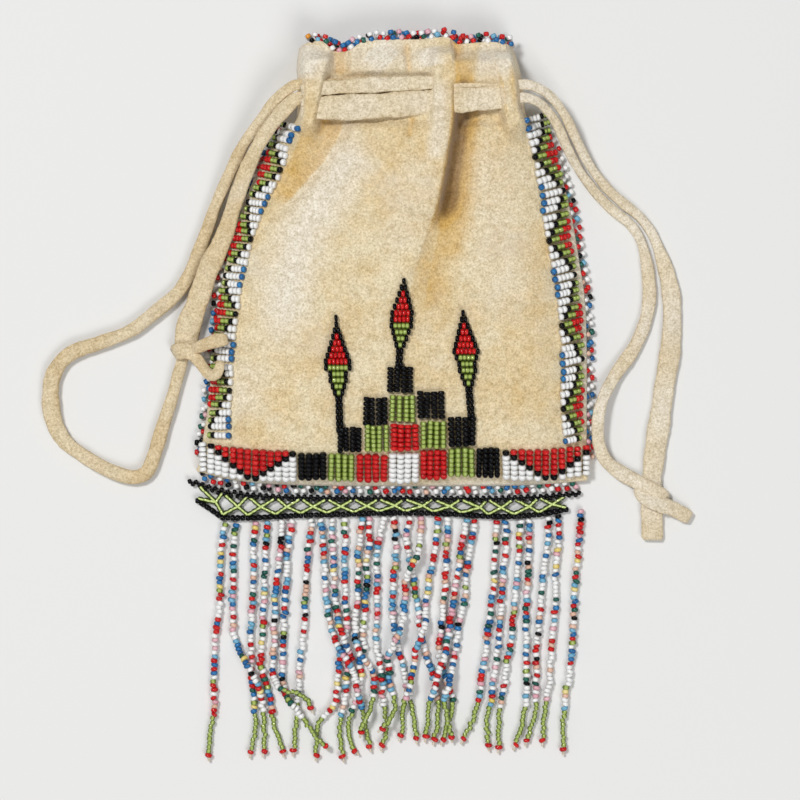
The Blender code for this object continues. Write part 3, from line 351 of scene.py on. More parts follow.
def cover(x, y):
    """1 where hide lies over the thongs, 0 where it lies under them."""
    best = 0.0
    share = share_at(y)
    for low_left, low_right, high_left, high_right, low, high in COVER_SHARES:
        up = held((share - low) / (high - low))
        left, right = low_left + (high_left - low_left) * up, low_right + (high_right - low_right) * up
        across = min(x - left * BODY_WIDTH, right * BODY_WIDTH - x)
        below = LOW_END_SHARE if low < CHANNEL_SHARES[0] else LOW_FLANK_SHARE
        flank = smooth(across / (COVER_FLANK_SHARE * BODY_WIDTH) + 0.5)
        flank *= smooth((share - low) / below + 0.5) * smooth((high - share) / LOW_FLANK_SHARE + 0.5)
        best = max(best, flank)
    return best


def rise(x, y):
    left, right = edges_at(y)
    share = share_at(y)
    low, high = NECK_SHARES
    width = SIDE_RISE + (NECK_SIDE_RISE - SIDE_RISE) * smooth((share - low) / (high - low))
    side = min(x - left, right - x)
    return dome(side / width) * dome((y - bottom_at(x)) / BOTTOM_RISE)


def front_height(x, y):
    lift = 2 * THONG + 3 * CLEAR + HIDE
    over = cover(x, y)
    start, full, near, far, top, end = SWELL_SHARES
    share = share_at(y)
    below = smooth((share - start) / (full - start)) * smooth((near - share) / (near - full) + 0.5)
    above = smooth((share - far) / (top - far) + 0.5) * smooth((end - share) / (end - top))
    swell = SWELL * (below + above) + pleat_at(x, y)[0]
    return 2 * HIDE + SEAM_GAP + rise(x, y) * (LOFT + lift * over + swell * (1 - over))


def back_window(x, y):
    """1 where the back hide lies over its thong, so inside the neck."""
    low, high = CHANNEL_SHARES
    margin = LOW_FLANK_SHARE * BODY_HEIGHT
    left, right = edges_at(y)
    side = smooth((min(x - left, right - x) - NECK_SIDE_RISE) / NECK_SIDE_RISE)
    along = smooth(min(y - y_at(low), y_at(high) - y) / margin + 1.5)
    return side * along * (1 - cover(x, y))


def back_height(x, y):
    """Underside of the back hide."""
    return (THONG + 2 * CLEAR + HIDE) * back_window(x, y)


# Folds of the front, ridges above 0 and valleys below: points in pixels from the top down, slope to the
# left and to the right and height in millimetres, then the golden tone beside it on the left and right,
# partly painted shade, which where it is strong turns to a deep brown painted shadow
FOLDS_PX = [
    ([(452, 100), (450, 133), (445, 167), (438, 202), (430, 228)], 13.0, 1.0, 3.6, 0.0, 0.9),
    ([(446, 160), (438, 202), (425, 238), (414, 275), (408, 300)], 9.0, 5.0, 1.1, 0.0, 0.3),
    ([(466, 84), (465, 108), (459, 130), (455, 150), (450, 180), (446, 202), (440, 226)],
     1.6, 3.6, -2.3, 1.0, 1.0),
    # Mostly a painted shadow: the deep brown strip beside the middle pleat's steep side, over a shallow
    # valley
    ([(465, 70), (461, 96), (459, 120), (456, 146), (452, 172), (449, 196), (444, 222)],
     1.7, 2.2, -1.1, 2.4, 2.4),
    ([(469, 104), (469, 128), (468, 167), (466, 202), (458, 236), (448, 264)], 2.2, 3.0, 0.0, 0.5, 0.6),
    ([(448, 186), (446, 202), (437, 239), (430, 275), (423, 310)], 3.0, 5.0, -1.0, 0.5, 0.7),
    ([(491, 58), (497, 74), (502, 88), (505, 104), (506, 118)], 0.7, 3.0, 0.9, 0.7, 0.0),
    ([(346, 118), (340, 138), (325, 163), (303, 187), (282, 211)], 6.0, 2.2, -2.2, 1.05, 0.1),
    ([(308, 112), (302, 138), (292, 160), (280, 180)], 3.0, 3.6, 1.8, 0.1, 0.4),
    ([(334, 46), (336, 62), (338, 80)], 1.0, 1.6, -1.5, 0.2, 0.7),
    ([(344, 50), (345, 78)], 2.2, 1.6, -0.8, 1.0, 0.6),
    ([(352, 48), (352, 78)], 0.8, 3.0, 0.5, 0.3, 0.0),
    ([(405, 46), (407, 60), (409, 77)], 0.8, 1.0, -1.1, 0.5, 0.9),
    ([(453, 40), (454, 60), (455, 78)], 0.8, 2.0, -2.0, 0.0, 0.8),
    ([(412, 120), (411, 130), (409, 142)], 0.9, 1.0, -0.9, 0.5, 0.4),
    ([(424, 118), (421, 140), (419, 165)], 1.6, 1.8, -0.5, 0.1, 0.2),
    ([(374, 120), (377, 150)], 2.4, 2.6, -0.4, 0.1, 0.1),
    ([(500, 112), (512, 150)], 2.0, 2.6, -0.5, 0.2, 0.1),
    ([(328, 118), (322, 140)], 1.2, 1.6, -0.7, 0.6, 0.3),
    ([(487, 60), (495, 80)], 1.6, 0.9, -0.6, 0.3, 0.1),
    ([(474, 54), (477, 78)], 3.0, 3.0, 0.5, 0.0, 0.0),
    ([(380, 50), (384, 76)], 4.0, 4.0, 0.5, 0.0, 0.0),
    ([(311, 48), (309, 66), (306, 84)], 3.0, 3.0, 0.8, 0.0, 0.0),
    ([(430, 50), (432, 78)], 3.0, 3.0, 0.6, 0.0, 0.0),
    ([(442, 60), (442, 120)], 1.6, 2.2, 0.5, 0.0, 0.1),
    ([(510, 66), (513, 90), (514, 112)], 1.0, 1.2, -0.5, 0.4, 0.2),
    ([(300, 84), (296, 112)], 1.4, 1.6, -0.4, 0.3, 0.3),
    ([(316, 70), (312, 92), (304, 114)], 1.2, 1.6, 0.5, 0.1, 0.2),
    ([(524, 190), (538, 262)], 6.0, 6.0, -0.4, 0.1, 0.1),
    ([(270, 300), (262, 400)], 8.0, 8.0, -0.4, 0.1, 0.1),
    ([(352, 190), (346, 280)], 8.0, 8.0, 0.4, 0.0, 0.0),
    ([(500, 250), (508, 340)], 9.0, 9.0, 0.4, 0.0, 0.0),
    ([(300, 330), (318, 430)], 7.0, 9.0, 0.4, 0.0, 0.1),
]
SEAM_PX = [(549, 114), (562, 158), (570, 200), (579, 266), (586, 335), (588, 400), (588, 446)]
LEFT_SEAM_PX = [(278, 120), (256, 170), (232, 230), (213, 310), (206, 372), (200, 440)]
HEM_PX = [(198, 470), (290, 488), (400, 492), (500, 488), (590, 480)]
# Pale places, partly rubbed wear and partly painted light on slopes turned from the lamp, and brown stains:
# points in pixels, half width in millimetres and strength
RUBBED_AND_LIT_PX = [
    # Painted light: the pale lit band right of the left valley
    ([(352, 130), (345, 165), (326, 200), (302, 236), (286, 300), (280, 360)], 6.5, 0.9),
    ([(311, 46), (309, 62), (304, 84)], 3.8, 0.8),
    ([(372, 50), (392, 68)], 4.6, 0.8),
    ([(428, 50), (432, 72)], 3.2, 0.9),
    ([(440, 80), (439, 130), (434, 165)], 2.4, 0.7),
    ([(420, 150), (400, 260)], 6.0, 0.3),
    ([(480, 130), (500, 240), (505, 330)], 8.0, 0.35),
    ([(250, 360), (246, 420)], 5.0, 0.4),
    ([(498, 90), (506, 110)], 1.6, 0.5),
    # Painted light: pale strips along the seams and hem, on the steep sides turned from the lamp
    (SEAM_PX, 2.2, 0.8),
    (LEFT_SEAM_PX, 2.0, 0.8),
    (HEM_PX, 2.4, 1.0),
    ([(296, 64), (330, 62), (380, 58), (446, 60)], 7.0, 0.45),
    # Painted light on the right collar's slope turned from the lamp
    ([(474, 60), (514, 64)], 5.5, 0.9),
]
STAINS_PX = [
    ([(519, 108), (520, 113)], 0.8, 1.0),
    ([(524, 176), (530, 182)], 1.8, 0.35),
    ([(508, 172), (514, 184)], 1.4, 0.2),
    ([(244, 404), (243, 440)], 1.2, 0.3),
    ([(497, 400), (512, 418)], 1.6, 0.2),
    ([(398, 222), (388, 262)], 2.4, 0.16),
]


def in_metres(points):
    return [Vector(to_metres(px, py)) for px, py in points]


def beside(line, place):
    """How far a place is right of a line that runs down, and how near it is to the line's middle."""
    best, off, near = None, 0.0, 0.0
    count = len(line) - 1
    for k, (a, b) in enumerate(zip(line, line[1:])):
        run = b - a
        part = held((place - a).dot(run) / run.length_squared)
        gap = place - a - run * part
        if best is None or gap.length < best:
            best = gap.length
            off = math.copysign(gap.length, run.y * gap.x - run.x * gap.y) * -1
            near = 1 - abs(2 * (k + part) / count - 1)
    return off, near


FOLDS = [(in_metres(points), left * MM, right * MM, height * MM, gold_and_shade_left, gold_and_shade_right)
         for points, left, right, height, gold_and_shade_left, gold_and_shade_right in FOLDS_PX]
RUBBED_AND_LIT = [(in_metres(points), width * MM, strength) for points, width, strength in RUBBED_AND_LIT_PX]
STAINS = [(in_metres(points), width * MM, strength) for points, width, strength in STAINS_PX]
REACH = 1.8
# How strong a fold or a patch is at its ends, and how fast it grows towards its middle
FOLD_ENDS = (0.25, 2.2)
PATCH_ENDS = (0.2, 2)


def near_line(line, place, reach):
    """Whether a place lies in the line's box, grown by a reach."""
    xs, ys = [p.x for p in line], [p.y for p in line]
    return min(xs) - reach < place.x < max(xs) + reach and min(ys) - reach < place.y < max(ys) + reach


def bell(off, width, near, ends):
    """Strength of a fold or a patch beside its line, fading out at the line's ends."""
    return smooth(1 - abs(off) / width / REACH) * smooth(ends[0] + near * ends[1])


def pleat_at(x, y):
    """Height that the folds add at a place, and their golden tone there, partly painted shade."""
    place = Vector((x, y))
    height = gold = 0.0
    for line, left, right, high, gold_and_shade_left, gold_and_shade_right in FOLDS:
        if not near_line(line, place, REACH * max(left, right)):
            continue
        off, near = beside(line, place)
        width = left if off < 0 else right
        strength = bell(off, width, near, FOLD_ENDS)
        height += high * strength
        gold += (gold_and_shade_left if off < 0 else gold_and_shade_right) * strength
    return height, gold


def patch_at(patches, x, y):
    place = Vector((x, y))
    total = 0.0
    for line, width, strength in patches:
        if near_line(line, place, REACH * width):
            off, near = beside(line, place)
            total += strength * bell(off, width, near, PATCH_ENDS)
    return min(total, 1)


# Materials

def new_group(name, inputs, outputs):
    group = bpy.data.node_groups.new(name, "ShaderNodeTree")
    for label, kind, value in inputs:
        socket = group.interface.new_socket(label, in_out="INPUT", socket_type=kind)
        socket.default_value = value
    for label, kind in outputs:
        group.interface.new_socket(label, in_out="OUTPUT", socket_type=kind)
    return group, group.nodes.new("NodeGroupInput"), group.nodes.new("NodeGroupOutput")


def new_material(name):
    """A material, its node tree and its main shader."""
    mat = bpy.data.materials.new(name)
    mat.use_nodes = True
    return mat, mat.node_tree, mat.node_tree.nodes["Principled BSDF"]


def object_coords(tree):
    return tree.nodes.new("ShaderNodeTexCoord").outputs["Object"]


def attribute(tree, name):
    node = tree.nodes.new("ShaderNodeAttribute")
    node.attribute_name = name
    return node.outputs["Fac"]


def add_bump(tree, shader, height, strength, distance):
    node = tree.nodes.new("ShaderNodeBump")
    dress(tree, node, {"Strength": strength, "Distance": distance, "Height": height})
    tree.links.new(node.outputs["Normal"], shader.inputs["Normal"])


def noise(tree, coords, scale, detail, roughness=0.55):
    node = tree.nodes.new("ShaderNodeTexNoise")
    dress(tree, node, {"Scale": scale, "Detail": detail, "Roughness": roughness, "Vector": coords})
    return node.outputs["Fac"]


def ramp(tree, value, stops):
    node = tree.nodes.new("ShaderNodeValToRGB")
    while len(node.color_ramp.elements) < len(stops):
        node.color_ramp.elements.new(0.5)
    for element, (place, colour) in zip(node.color_ramp.elements, stops):
        element.position = place
        element.color = (*colour, 1)
    tree.links.new(value, node.inputs["Fac"])
    return node.outputs["Color"]


def feed(tree, socket, value):
    """Link a socket to another's output, or give it a constant."""
    if hasattr(value, "links"):
        tree.links.new(value, socket)
    else:
        socket.default_value = (*value, 1) if isinstance(value, tuple) else value


def dress(tree, shader, values):
    """Link or set a shader's inputs, each under its label."""
    for label, value in values.items():
        feed(tree, shader.inputs[label], value)


def placed(tree, group, values):
    """A node group's node in a material, with its inputs set."""
    node = tree.nodes.new("ShaderNodeGroup")
    node.node_tree = group
    dress(tree, node, values)
    return node


def blend_colour(tree, factor, first, second, mode="MIX"):
    node = tree.nodes.new("ShaderNodeMix")
    node.data_type = "RGBA"
    node.blend_type = mode
    feed(tree, node.inputs[0], factor)
    feed(tree, node.inputs[6], first)
    feed(tree, node.inputs[7], second)
    return node.outputs[2]


def arithmetic(tree, operation, *values, clamp=False):
    node = tree.nodes.new("ShaderNodeMath")
    node.operation = operation
    node.use_clamp = clamp
    for socket, value in zip(node.inputs, values):
        feed(tree, socket, value)
    return node.outputs[0]


def grade(tree, value, first, last):
    """0 up to the first value, 1 from the last value on."""
    span = arithmetic(tree, "SUBTRACT", last, first)
    return arithmetic(tree, "DIVIDE", arithmetic(tree, "SUBTRACT", value, first), span, clamp=True)


# Deep brown of the painted shadow in the deepest folds
DEEP_FOLD_SHADOW = (0.30, 0.17, 0.045)
# Pale of rubbed wear, and of painted light on slopes turned from the lamp
RUBBED_AND_LIT_HIDE = (0.80, 0.745, 0.64)
COOL_HIDE = (0.70, 0.67, 0.63)
STAIN = (0.36, 0.17, 0.05)
# Scale, detail and roughness of each noise in the hide
HIDE_NOISE = {
    "clouds": (38, 4, 0.6), "patches": (120, 5, 0.65), "nap": (1600, 5, 0.75),
    "brushed": (520, 5, 0.7), "stains": (900, 3, 0.6), "cool": (70, 3, 0.5),
}
# Gain and shift of what each noise gives
CLOUD_TONE = (1.0, -0.36)
PATCH_TONE = (1.3, -0.60)
STAIN_TONE = (4.0, -1.6)
COOL_TONE = (3.2, -1.85)
ROUGH_TONE = (0.12, 0.84)
RUBBED_AND_LIT_STRENGTH = 0.8
GRAIN_STRENGTH = 0.8
COOL_STRENGTH = 0.4
NAP_HEIGHT = 0.5
BRUSHED_HEIGHT = 0.8
HIDE_BUMP = (0.7, 0.25 * MM)
GRAIN_STOPS = [(0.32, (0.80, 0.77, 0.70)), (0.5, (1, 1, 1)), (0.68, (1.12, 1.13, 1.17))]
NAP_STOPS = [(0.34, (0.62, 0.57, 0.47)), (0.5, (1, 1, 1)), (0.66, (1.30, 1.33, 1.42))]


def suede_group():
    """Nap, mottling and the golden tone of folds, for every piece of hide: the golden tone partly painted
    shade, with a deep brown painted shadow in the deepest folds, and pale places partly rubbed wear and
    partly painted light.
    """
    group, given, result = new_group(
        "suede",
        [("Vector", "NodeSocketVector", (0, 0, 0)), ("Pale", "NodeSocketColor", (1, 1, 1, 1)),
         ("Golden", "NodeSocketColor", (1, 1, 1, 1)), ("Fold", "NodeSocketFloat", 0.0),
         ("Rubbed_and_lit", "NodeSocketFloat", 0.0), ("Stain", "NodeSocketFloat", 0.0)],
        [("Color", "NodeSocketColor"), ("Roughness", "NodeSocketFloat"), ("Height", "NodeSocketFloat")],
    )
    fold = given.outputs["Fold"]
    clouds, patches, nap, brushed, stains, cool = (
        noise(group, given.outputs["Vector"], *setting) for setting in HIDE_NOISE.values())
    warmth = arithmetic(group, "MULTIPLY_ADD", clouds, *CLOUD_TONE)
    tone = arithmetic(group, "ADD", warmth, arithmetic(group, "MULTIPLY_ADD", patches, *PATCH_TONE))
    tone = arithmetic(group, "ADD", tone, fold, clamp=True)
    base = blend_colour(group, tone, given.outputs["Pale"], given.outputs["Golden"])
    # Fold tone past 1 paints a deep brown shadow
    fold_shadow = arithmetic(group, "ADD", fold, -1.0, clamp=True)
    base = blend_colour(group, fold_shadow, base, DEEP_FOLD_SHADOW)
    # Pale places: rubbed wear, and painted light on slopes turned from the lamp
    rubbed_and_lit = arithmetic(group, "MULTIPLY", given.outputs["Rubbed_and_lit"], RUBBED_AND_LIT_STRENGTH)
    base = blend_colour(group, rubbed_and_lit, base, RUBBED_AND_LIT_HIDE)
    stains = arithmetic(group, "MULTIPLY_ADD", stains, *STAIN_TONE, clamp=True)
    stains = arithmetic(group, "MULTIPLY", stains, given.outputs["Stain"])
    base = blend_colour(group, stains, base, STAIN)
    for grain, stops in ((brushed, GRAIN_STOPS), (nap, NAP_STOPS)):
        base = blend_colour(group, GRAIN_STRENGTH, base, ramp(group, grain, stops), "MULTIPLY")
    cool = arithmetic(group, "MULTIPLY_ADD", cool, *COOL_TONE, clamp=True)
    base = blend_colour(group, arithmetic(group, "MULTIPLY", cool, COOL_STRENGTH), base, COOL_HIDE)
    height = arithmetic(group, "MULTIPLY", brushed, BRUSHED_HEIGHT)
    dress(group, result, {
        "Color": base,
        "Roughness": arithmetic(group, "MULTIPLY_ADD", brushed, *ROUGH_TONE),
        "Height": arithmetic(group, "MULTIPLY_ADD", nap, NAP_HEIGHT, height),
    })
    return group


SUEDE = suede_group()


def hide_material(name, pale, golden, folds):
    mat, tree, shader = new_material(name)
    values = {"Vector": object_coords(tree), "Pale": pale, "Golden": golden}
    if folds:
        values |= {label: attribute(tree, label.lower()) for label in ("Fold", "Rubbed_and_lit", "Stain")}
    suede = placed(tree, SUEDE, values)
    dress(tree, shader, {
        "Base Color": suede.outputs["Color"], "Roughness": suede.outputs["Roughness"],
        "Sheen Weight": 0.25, "Sheen Roughness": 0.6, "Specular IOR Level": 0.2,
    })
    add_bump(tree, shader, suede.outputs["Height"], *HIDE_BUMP)
    return mat


front_suede = hide_material("front_suede", (0.76, 0.65, 0.435), (0.62, 0.39, 0.11), True)
back_suede = hide_material("back_suede", (0.72, 0.61, 0.42), (0.58, 0.40, 0.18), False)
thong_suede = hide_material("thong_suede", (0.73, 0.62, 0.42), (0.60, 0.44, 0.22), True)


# Bead glass: the noises' scale, detail and roughness, and where the tone turns from glass to core
TONE_NOISE = (420, 1, 0.5)
DULL_NOISE = (900, 2, 0.5)
TONE_TURN = (0.3, 0.7)
DULL_SPREAD = 0.12
EDGE_SHADE = 0.6
EDGE_BLEND = 0.35


def bead_tone_group():
    """Seed bead glass, each bead a little lighter or darker and duller or brighter than the next."""
    group, given, result = new_group(
        "bead_tone",
        [("Vector", "NodeSocketVector", (0, 0, 0)), ("Glass", "NodeSocketColor", (1, 1, 1, 1)),
         ("Core", "NodeSocketColor", (1, 1, 1, 1)), ("Roughness", "NodeSocketFloat", 0.1)],
        [("Color", "NodeSocketColor"), ("Roughness", "NodeSocketFloat")],
    )
    coords = given.outputs["Vector"]
    tone = grade(group, noise(group, coords, *TONE_NOISE), *TONE_TURN)
    dull = noise(group, coords, *DULL_NOISE)
    dress(group, result, {
        "Color": blend_colour(group, tone, given.outputs["Glass"], given.outputs["Core"]),
        "Roughness": arithmetic(group, "MULTIPLY_ADD", dull, DULL_SPREAD, given.outputs["Roughness"]),
    })
    return group


BEAD_TONE = bead_tone_group()


def glass_material(name, colour, core, roughness, shine=0.5):
    """Opaque seed bead glass, darker where it turns away from the eye: painted shade."""
    mat, tree, shader = new_material(name)
    bead = placed(tree, BEAD_TONE, {
        "Vector": object_coords(tree), "Glass": colour, "Core": core, "Roughness": roughness,
    })
    facing = tree.nodes.new("ShaderNodeLayerWeight")
    facing.inputs["Blend"].default_value = EDGE_BLEND
    edge = tuple(c * EDGE_SHADE for c in colour)
    dress(tree, shader, {
        "Base Color": blend_colour(tree, facing.outputs["Facing"], bead.outputs["Color"], edge),
        "Roughness": bead.outputs["Roughness"], "Specular IOR Level": shine,
    })
    return mat


LINE_SHARE = 0.6
BEAD_EDGE = 0.5


def lined_hole_group():
    """Clear bead with its bright lined hole showing along its middle, darker towards its edges: painted
    shade.
    """
    group, given, result = new_group(
        "lined_hole",
        [("Aside", "NodeSocketFloat", 0.0), ("Width", "NodeSocketFloat", 0.25),
         ("Line", "NodeSocketColor", (1, 1, 1, 1)), ("Clear", "NodeSocketColor", (1, 1, 1, 1)),
         ("Edge", "NodeSocketColor", (1, 1, 1, 1))],
        [("Color", "NodeSocketColor")],
    )
    off = arithmetic(group, "ABSOLUTE", given.outputs["Aside"])
    width = given.outputs["Width"]
    lining = grade(group, off, arithmetic(group, "MULTIPLY", width, LINE_SHARE), width)
    base = blend_colour(group, lining, given.outputs["Line"], given.outputs["Clear"])
    outer = grade(group, off, width, BEAD_EDGE)
    dress(group, result, {"Color": blend_colour(group, outer, base, given.outputs["Edge"])})
    return group


LINED_HOLE = lined_hole_group()


def lined_glass_material(name, clear, line, width, shade):
    """Clear seed bead glass with a bright lining."""
    mat, tree, shader = new_material(name)
    bead = placed(tree, LINED_HOLE, {
        "Aside": attribute(tree, "aside"), "Width": width, "Line": line, "Clear": clear,
        "Edge": tuple(c * shade for c in clear),
    })
    dress(tree, shader, {
        "Base Color": bead.outputs["Color"], "Roughness": 0.08, "Specular IOR Level": 0.5,
    })
    return mat


GLASS = {
    "W": glass_material("white_glass", (0.88, 0.88, 0.87), (0.92, 0.92, 0.91), 0.12),
    "K": glass_material("black_glass", (0.002, 0.002, 0.003), (0.005, 0.005, 0.006), 0.0, 0.16),
    "R": glass_material("red_glass", (0.50, 0.004, 0.008), (0.72, 0.018, 0.014), 0.06, 0.4),
    "G": lined_glass_material("olive_glass", (0.15, 0.22, 0.025), (0.38, 0.48, 0.12), 0.28, 0.5),
    "N": lined_glass_material("net_glass", (0.05, 0.08, 0.008), (0.62, 0.74, 0.26), 0.20, 0.3),
    "B": glass_material("blue_glass", (0.010, 0.10, 0.30), (0.03, 0.22, 0.50), 0.16, 0.4),
    "L": glass_material("pale_blue_glass", (0.12, 0.36, 0.55), (0.22, 0.50, 0.68), 0.20),
    "P": glass_material("pink_glass", (0.70, 0.34, 0.40), (0.84, 0.55, 0.60), 0.20),
    "T": glass_material("teal_glass", (0.006, 0.07, 0.055), (0.015, 0.14, 0.10), 0.14, 0.4),
    "A": glass_material("amber_glass", (0.70, 0.22, 0.015), (0.88, 0.42, 0.04), 0.16),
    "Y": glass_material("yellow_glass", (0.78, 0.58, 0.12), (0.86, 0.74, 0.35), 0.20),
    "H": glass_material("peach_glass", (0.72, 0.42, 0.30), (0.80, 0.56, 0.44), 0.22),
}


COTTON_NOISE = (1200, 3)
TWIST_NOISE = (4000, 2)
TWIST_BUMP = (0.5, 0.1 * MM)
COTTON_STOPS = [(0.3, (0.52, 0.44, 0.33)), (0.7, (0.78, 0.72, 0.60))]


def cotton_material():
    mat, tree, shader = new_material("waxed_thread")
    coords = object_coords(tree)
    colour = ramp(tree, noise(tree, coords, *COTTON_NOISE), COTTON_STOPS)
    dress(tree, shader, {"Base Color": colour, "Roughness": 0.85})
    add_bump(tree, shader, noise(tree, coords, *TWIST_NOISE), *TWIST_BUMP)
    return mat


THREAD_COTTON = cotton_material()


# Hide panels: the grid's rows lie closer together from the neck up, its columns at the sides
ROWS_BELOW_SHARE = 0.55
CLOSE_ROWS_SHARE = 0.748
CLOSE_SIDES_SHARE = 0.35
# How strongly the folds' golden tone, partly painted shade, shows, and its cap; tone past 1 is a deep brown
# painted shadow
FOLD_TONE = 0.8
DEEPEST_SHADOW_TONE = 2
FRONT_GRID = (190, 235)
BACK_GRID = (130, 160)


def row_share(up):
    """Height share of the body for a share of the grid's rows."""
    if up < ROWS_BELOW_SHARE:
        return up * CLOSE_ROWS_SHARE / ROWS_BELOW_SHARE
    above = (up - ROWS_BELOW_SHARE) / (1 - ROWS_BELOW_SHARE)
    return CLOSE_ROWS_SHARE + above * (1 - CLOSE_ROWS_SHARE)


def hide_sheet(name, columns, rows, height, mat, replaced, underside):
    """A piece of hide: a flat grid laid over the panel's outline and formed by its folds."""
    bm = bmesh.new()
    bmesh.ops.create_grid(bm, x_segments=columns, y_segments=rows, size=0.5)
    fold_layer = bm.verts.layers.float.new("fold")
    rubbed_and_lit_layer = bm.verts.layers.float.new("rubbed_and_lit")
    stain_layer = bm.verts.layers.float.new("stain")
    for v in bm.verts:
        across, up = v.co.x + 0.5, v.co.y + 0.5
        share = row_share(up)
        side = across + (smooth(across) - across) * CLOSE_SIDES_SHARE
        y = y_at(share)
        left, right = edges_at(y)
        x = left + (right - left) * side
        y += (bottom_at(x) - BOTTOM_Y) * max(0, 1 - share / RIM_BLEND_SHARE)
        y += (rim_at(x) - y_at(1)) * max(0, 1 - (1 - share) / RIM_BLEND_SHARE)
        z = height(x, y)
        if not underside:
            v[fold_layer] = min(DEEPEST_SHADOW_TONE, FOLD_TONE * pleat_at(x, y)[1] + neck_shade(x, y))
            v[rubbed_and_lit_layer] = patch_at(RUBBED_AND_LIT, x, y)
            v[stain_layer] = patch_at(STAINS, x, y)
        v.co = (x, y, z)
    if underside:
        bmesh.ops.reverse_faces(bm, faces=bm.faces)
    piece = link(name, mesh_from(name, bm), mat)
    thick = piece.modifiers.new("hide", "SOLIDIFY")
    thick.thickness = HIDE
    thick.offset = -1
    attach(piece, "pouch")
    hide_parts(replaced)
    return piece


NECK_TONE = 0.16
NECK_TONE_SHARES = (0.80, 0.88, 0.99, 1.01)
RIGHT_TONE_SHARES = (0.12, 0.20)


def neck_shade(x, y):
    """The gathered neck is a little more golden than the body."""
    share = share_at(y)
    low, full, high, end = NECK_TONE_SHARES
    start, far = RIGHT_TONE_SHARES
    right = 0.5 + 0.5 * smooth((x / BODY_WIDTH - start) / (far - start)) * (1 - share)
    along = smooth((share - low) / (full - low)) * (1 - smooth((share - high) / (end - high)))
    return along * NECK_TONE * right


front = hide_sheet("front_hide", *FRONT_GRID, front_height, front_suede, "front_panel", False)
back = hide_sheet("back_hide", *BACK_GRID, back_height, back_suede, "back_panel", True)


# Beads: faces round and along a bead, how blunt its ends and shoulders are, how far its hole is sunk,
# and what counts as its pole and as its axis
BEAD_SEGMENTS = 10
BEAD_RINGS = 7
END_POWER = 1.25
SHOULDER_POWER = 0.36
HOLE_DEPTH_SHARE = 0.36
POLE = 0.99
AXIS = 0.01


def bead_shape():
    """One seed bead of unit size: a short barrel with rounded shoulders, its hole along X."""
    bm = bmesh.new()
    lying = Matrix.Rotation(math.pi / 2, 4, "Y")
    bmesh.ops.create_uvsphere(bm, u_segments=BEAD_SEGMENTS, v_segments=BEAD_RINGS, radius=1, matrix=lying)
    layer = bm.verts.layers.float.new("aside")
    for v in bm.verts:
        reach = abs(v.co.x)
        ring = math.hypot(v.co.y, v.co.z)
        v.co.x = math.copysign(reach**END_POWER / 2 if reach < POLE else HOLE_DEPTH_SHARE, v.co.x)
        if ring > AXIS:
            v.co.yz = v.co.yz * (ring**SHOULDER_POWER / ring / 2)
        v[layer] = v.co.y
    return mesh_from("seed_bead", bm)


BEAD_SHAPE = bead_shape()
# How unevenly beads are set: lean, growth and length
BEAD_LEAN = 0.10
BEAD_GROWTH = (0.94, 1.06)
BEAD_LENGTHS = (0.97, 1.08)
rng = random.Random(27)


def jitter(across, up):
    """A small random step, up to the given sizes each way."""
    return Vector((rng.uniform(-across, across), rng.uniform(-up, up)))


def bead_turn(along):
    """Turn that puts a bead's hole along a direction, with its side up."""
    x = along.normalized()
    y = UP.cross(x).normalized()
    z = x.cross(y)
    return Matrix((x, y, z)).transposed().to_4x4()


def bead_cluster(name, beads, body, replaced):
    """One mesh of beads; each bead is (place, along, length, width, colour letter)."""
    bm = bmesh.new()
    letters = sorted({bead[4] for bead in beads})
    start = 0
    for place, along, length, width, letter in beads:
        bm.from_mesh(BEAD_SHAPE)
        bm.verts.ensure_lookup_table()
        new = bm.verts[start:]
        start = len(bm.verts)
        lean = Vector((*jitter(BEAD_LEAN, BEAD_LEAN), 0))
        wide = width * rng.uniform(*BEAD_GROWTH)
        size = Matrix.Diagonal((length * rng.uniform(*BEAD_LENGTHS), wide, wide, 1))
        matrix = Matrix.Translation(place) @ bead_turn(along + lean * along.length) @ size
        bmesh.ops.transform(bm, matrix=matrix, verts=new)
        index = letters.index(letter)
        for face in {f for v in new for f in v.link_faces}:
            face.material_index = index
    piece = link(name, mesh_from(name, bm), *[GLASS[letter] for letter in letters])
    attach(piece, body)
    if replaced:
        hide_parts(*replaced)
    return piece


def sew(name, beads):
    """A field of beads on the pouch, in place of the solid that stands for it."""
    bead_cluster(name, beads, "pouch", [f"{name}_beads"])


SEWN_HIGH = 0.95 * MM
WHITE_WIDTH_SHARE = 1.07
COLOUR_WIDTH_SHARE = 0.96


def on_front(px, py, lift=SEWN_HIGH):
    """Place on the front that the camera sees at a pixel."""
    x, y, _ = seen_at(px, py, front_height(*to_metres(px, py)) + lift)
    return Vector((x, y, front_height(x, y) + lift))


def spaced_line(points, count):
    """Places along a pixel line: count of them, evenly spaced."""
    line = smooth_route([(*p, 0) for p in points], 1)
    return [Vector(line[round(k * (len(line) - 1) / max(count - 1, 1))][:2]) for k in range(count)]


def row_of_beads(start, end, letters, width, turned=0.0):
    """Beads strung between two pixel places on the front, one for each letter.

    Where the row is turned from the eye, the beads look shorter towards its end.
    """
    beads = []
    ends = []
    for k in range(len(letters) + 1):
        part = k / len(letters)
        ends.append(on_front(*start.lerp(end, part * (1 + turned * (1 - part)))))
    for near, far, letter in zip(ends, ends[1:], letters):
        ahead = far - near
        thick = width * (WHITE_WIDTH_SHARE if letter == "W" else COLOUR_WIDTH_SHARE)
        beads.append((near.lerp(far, 0.5), ahead, ahead.length, thick, letter))
    return beads


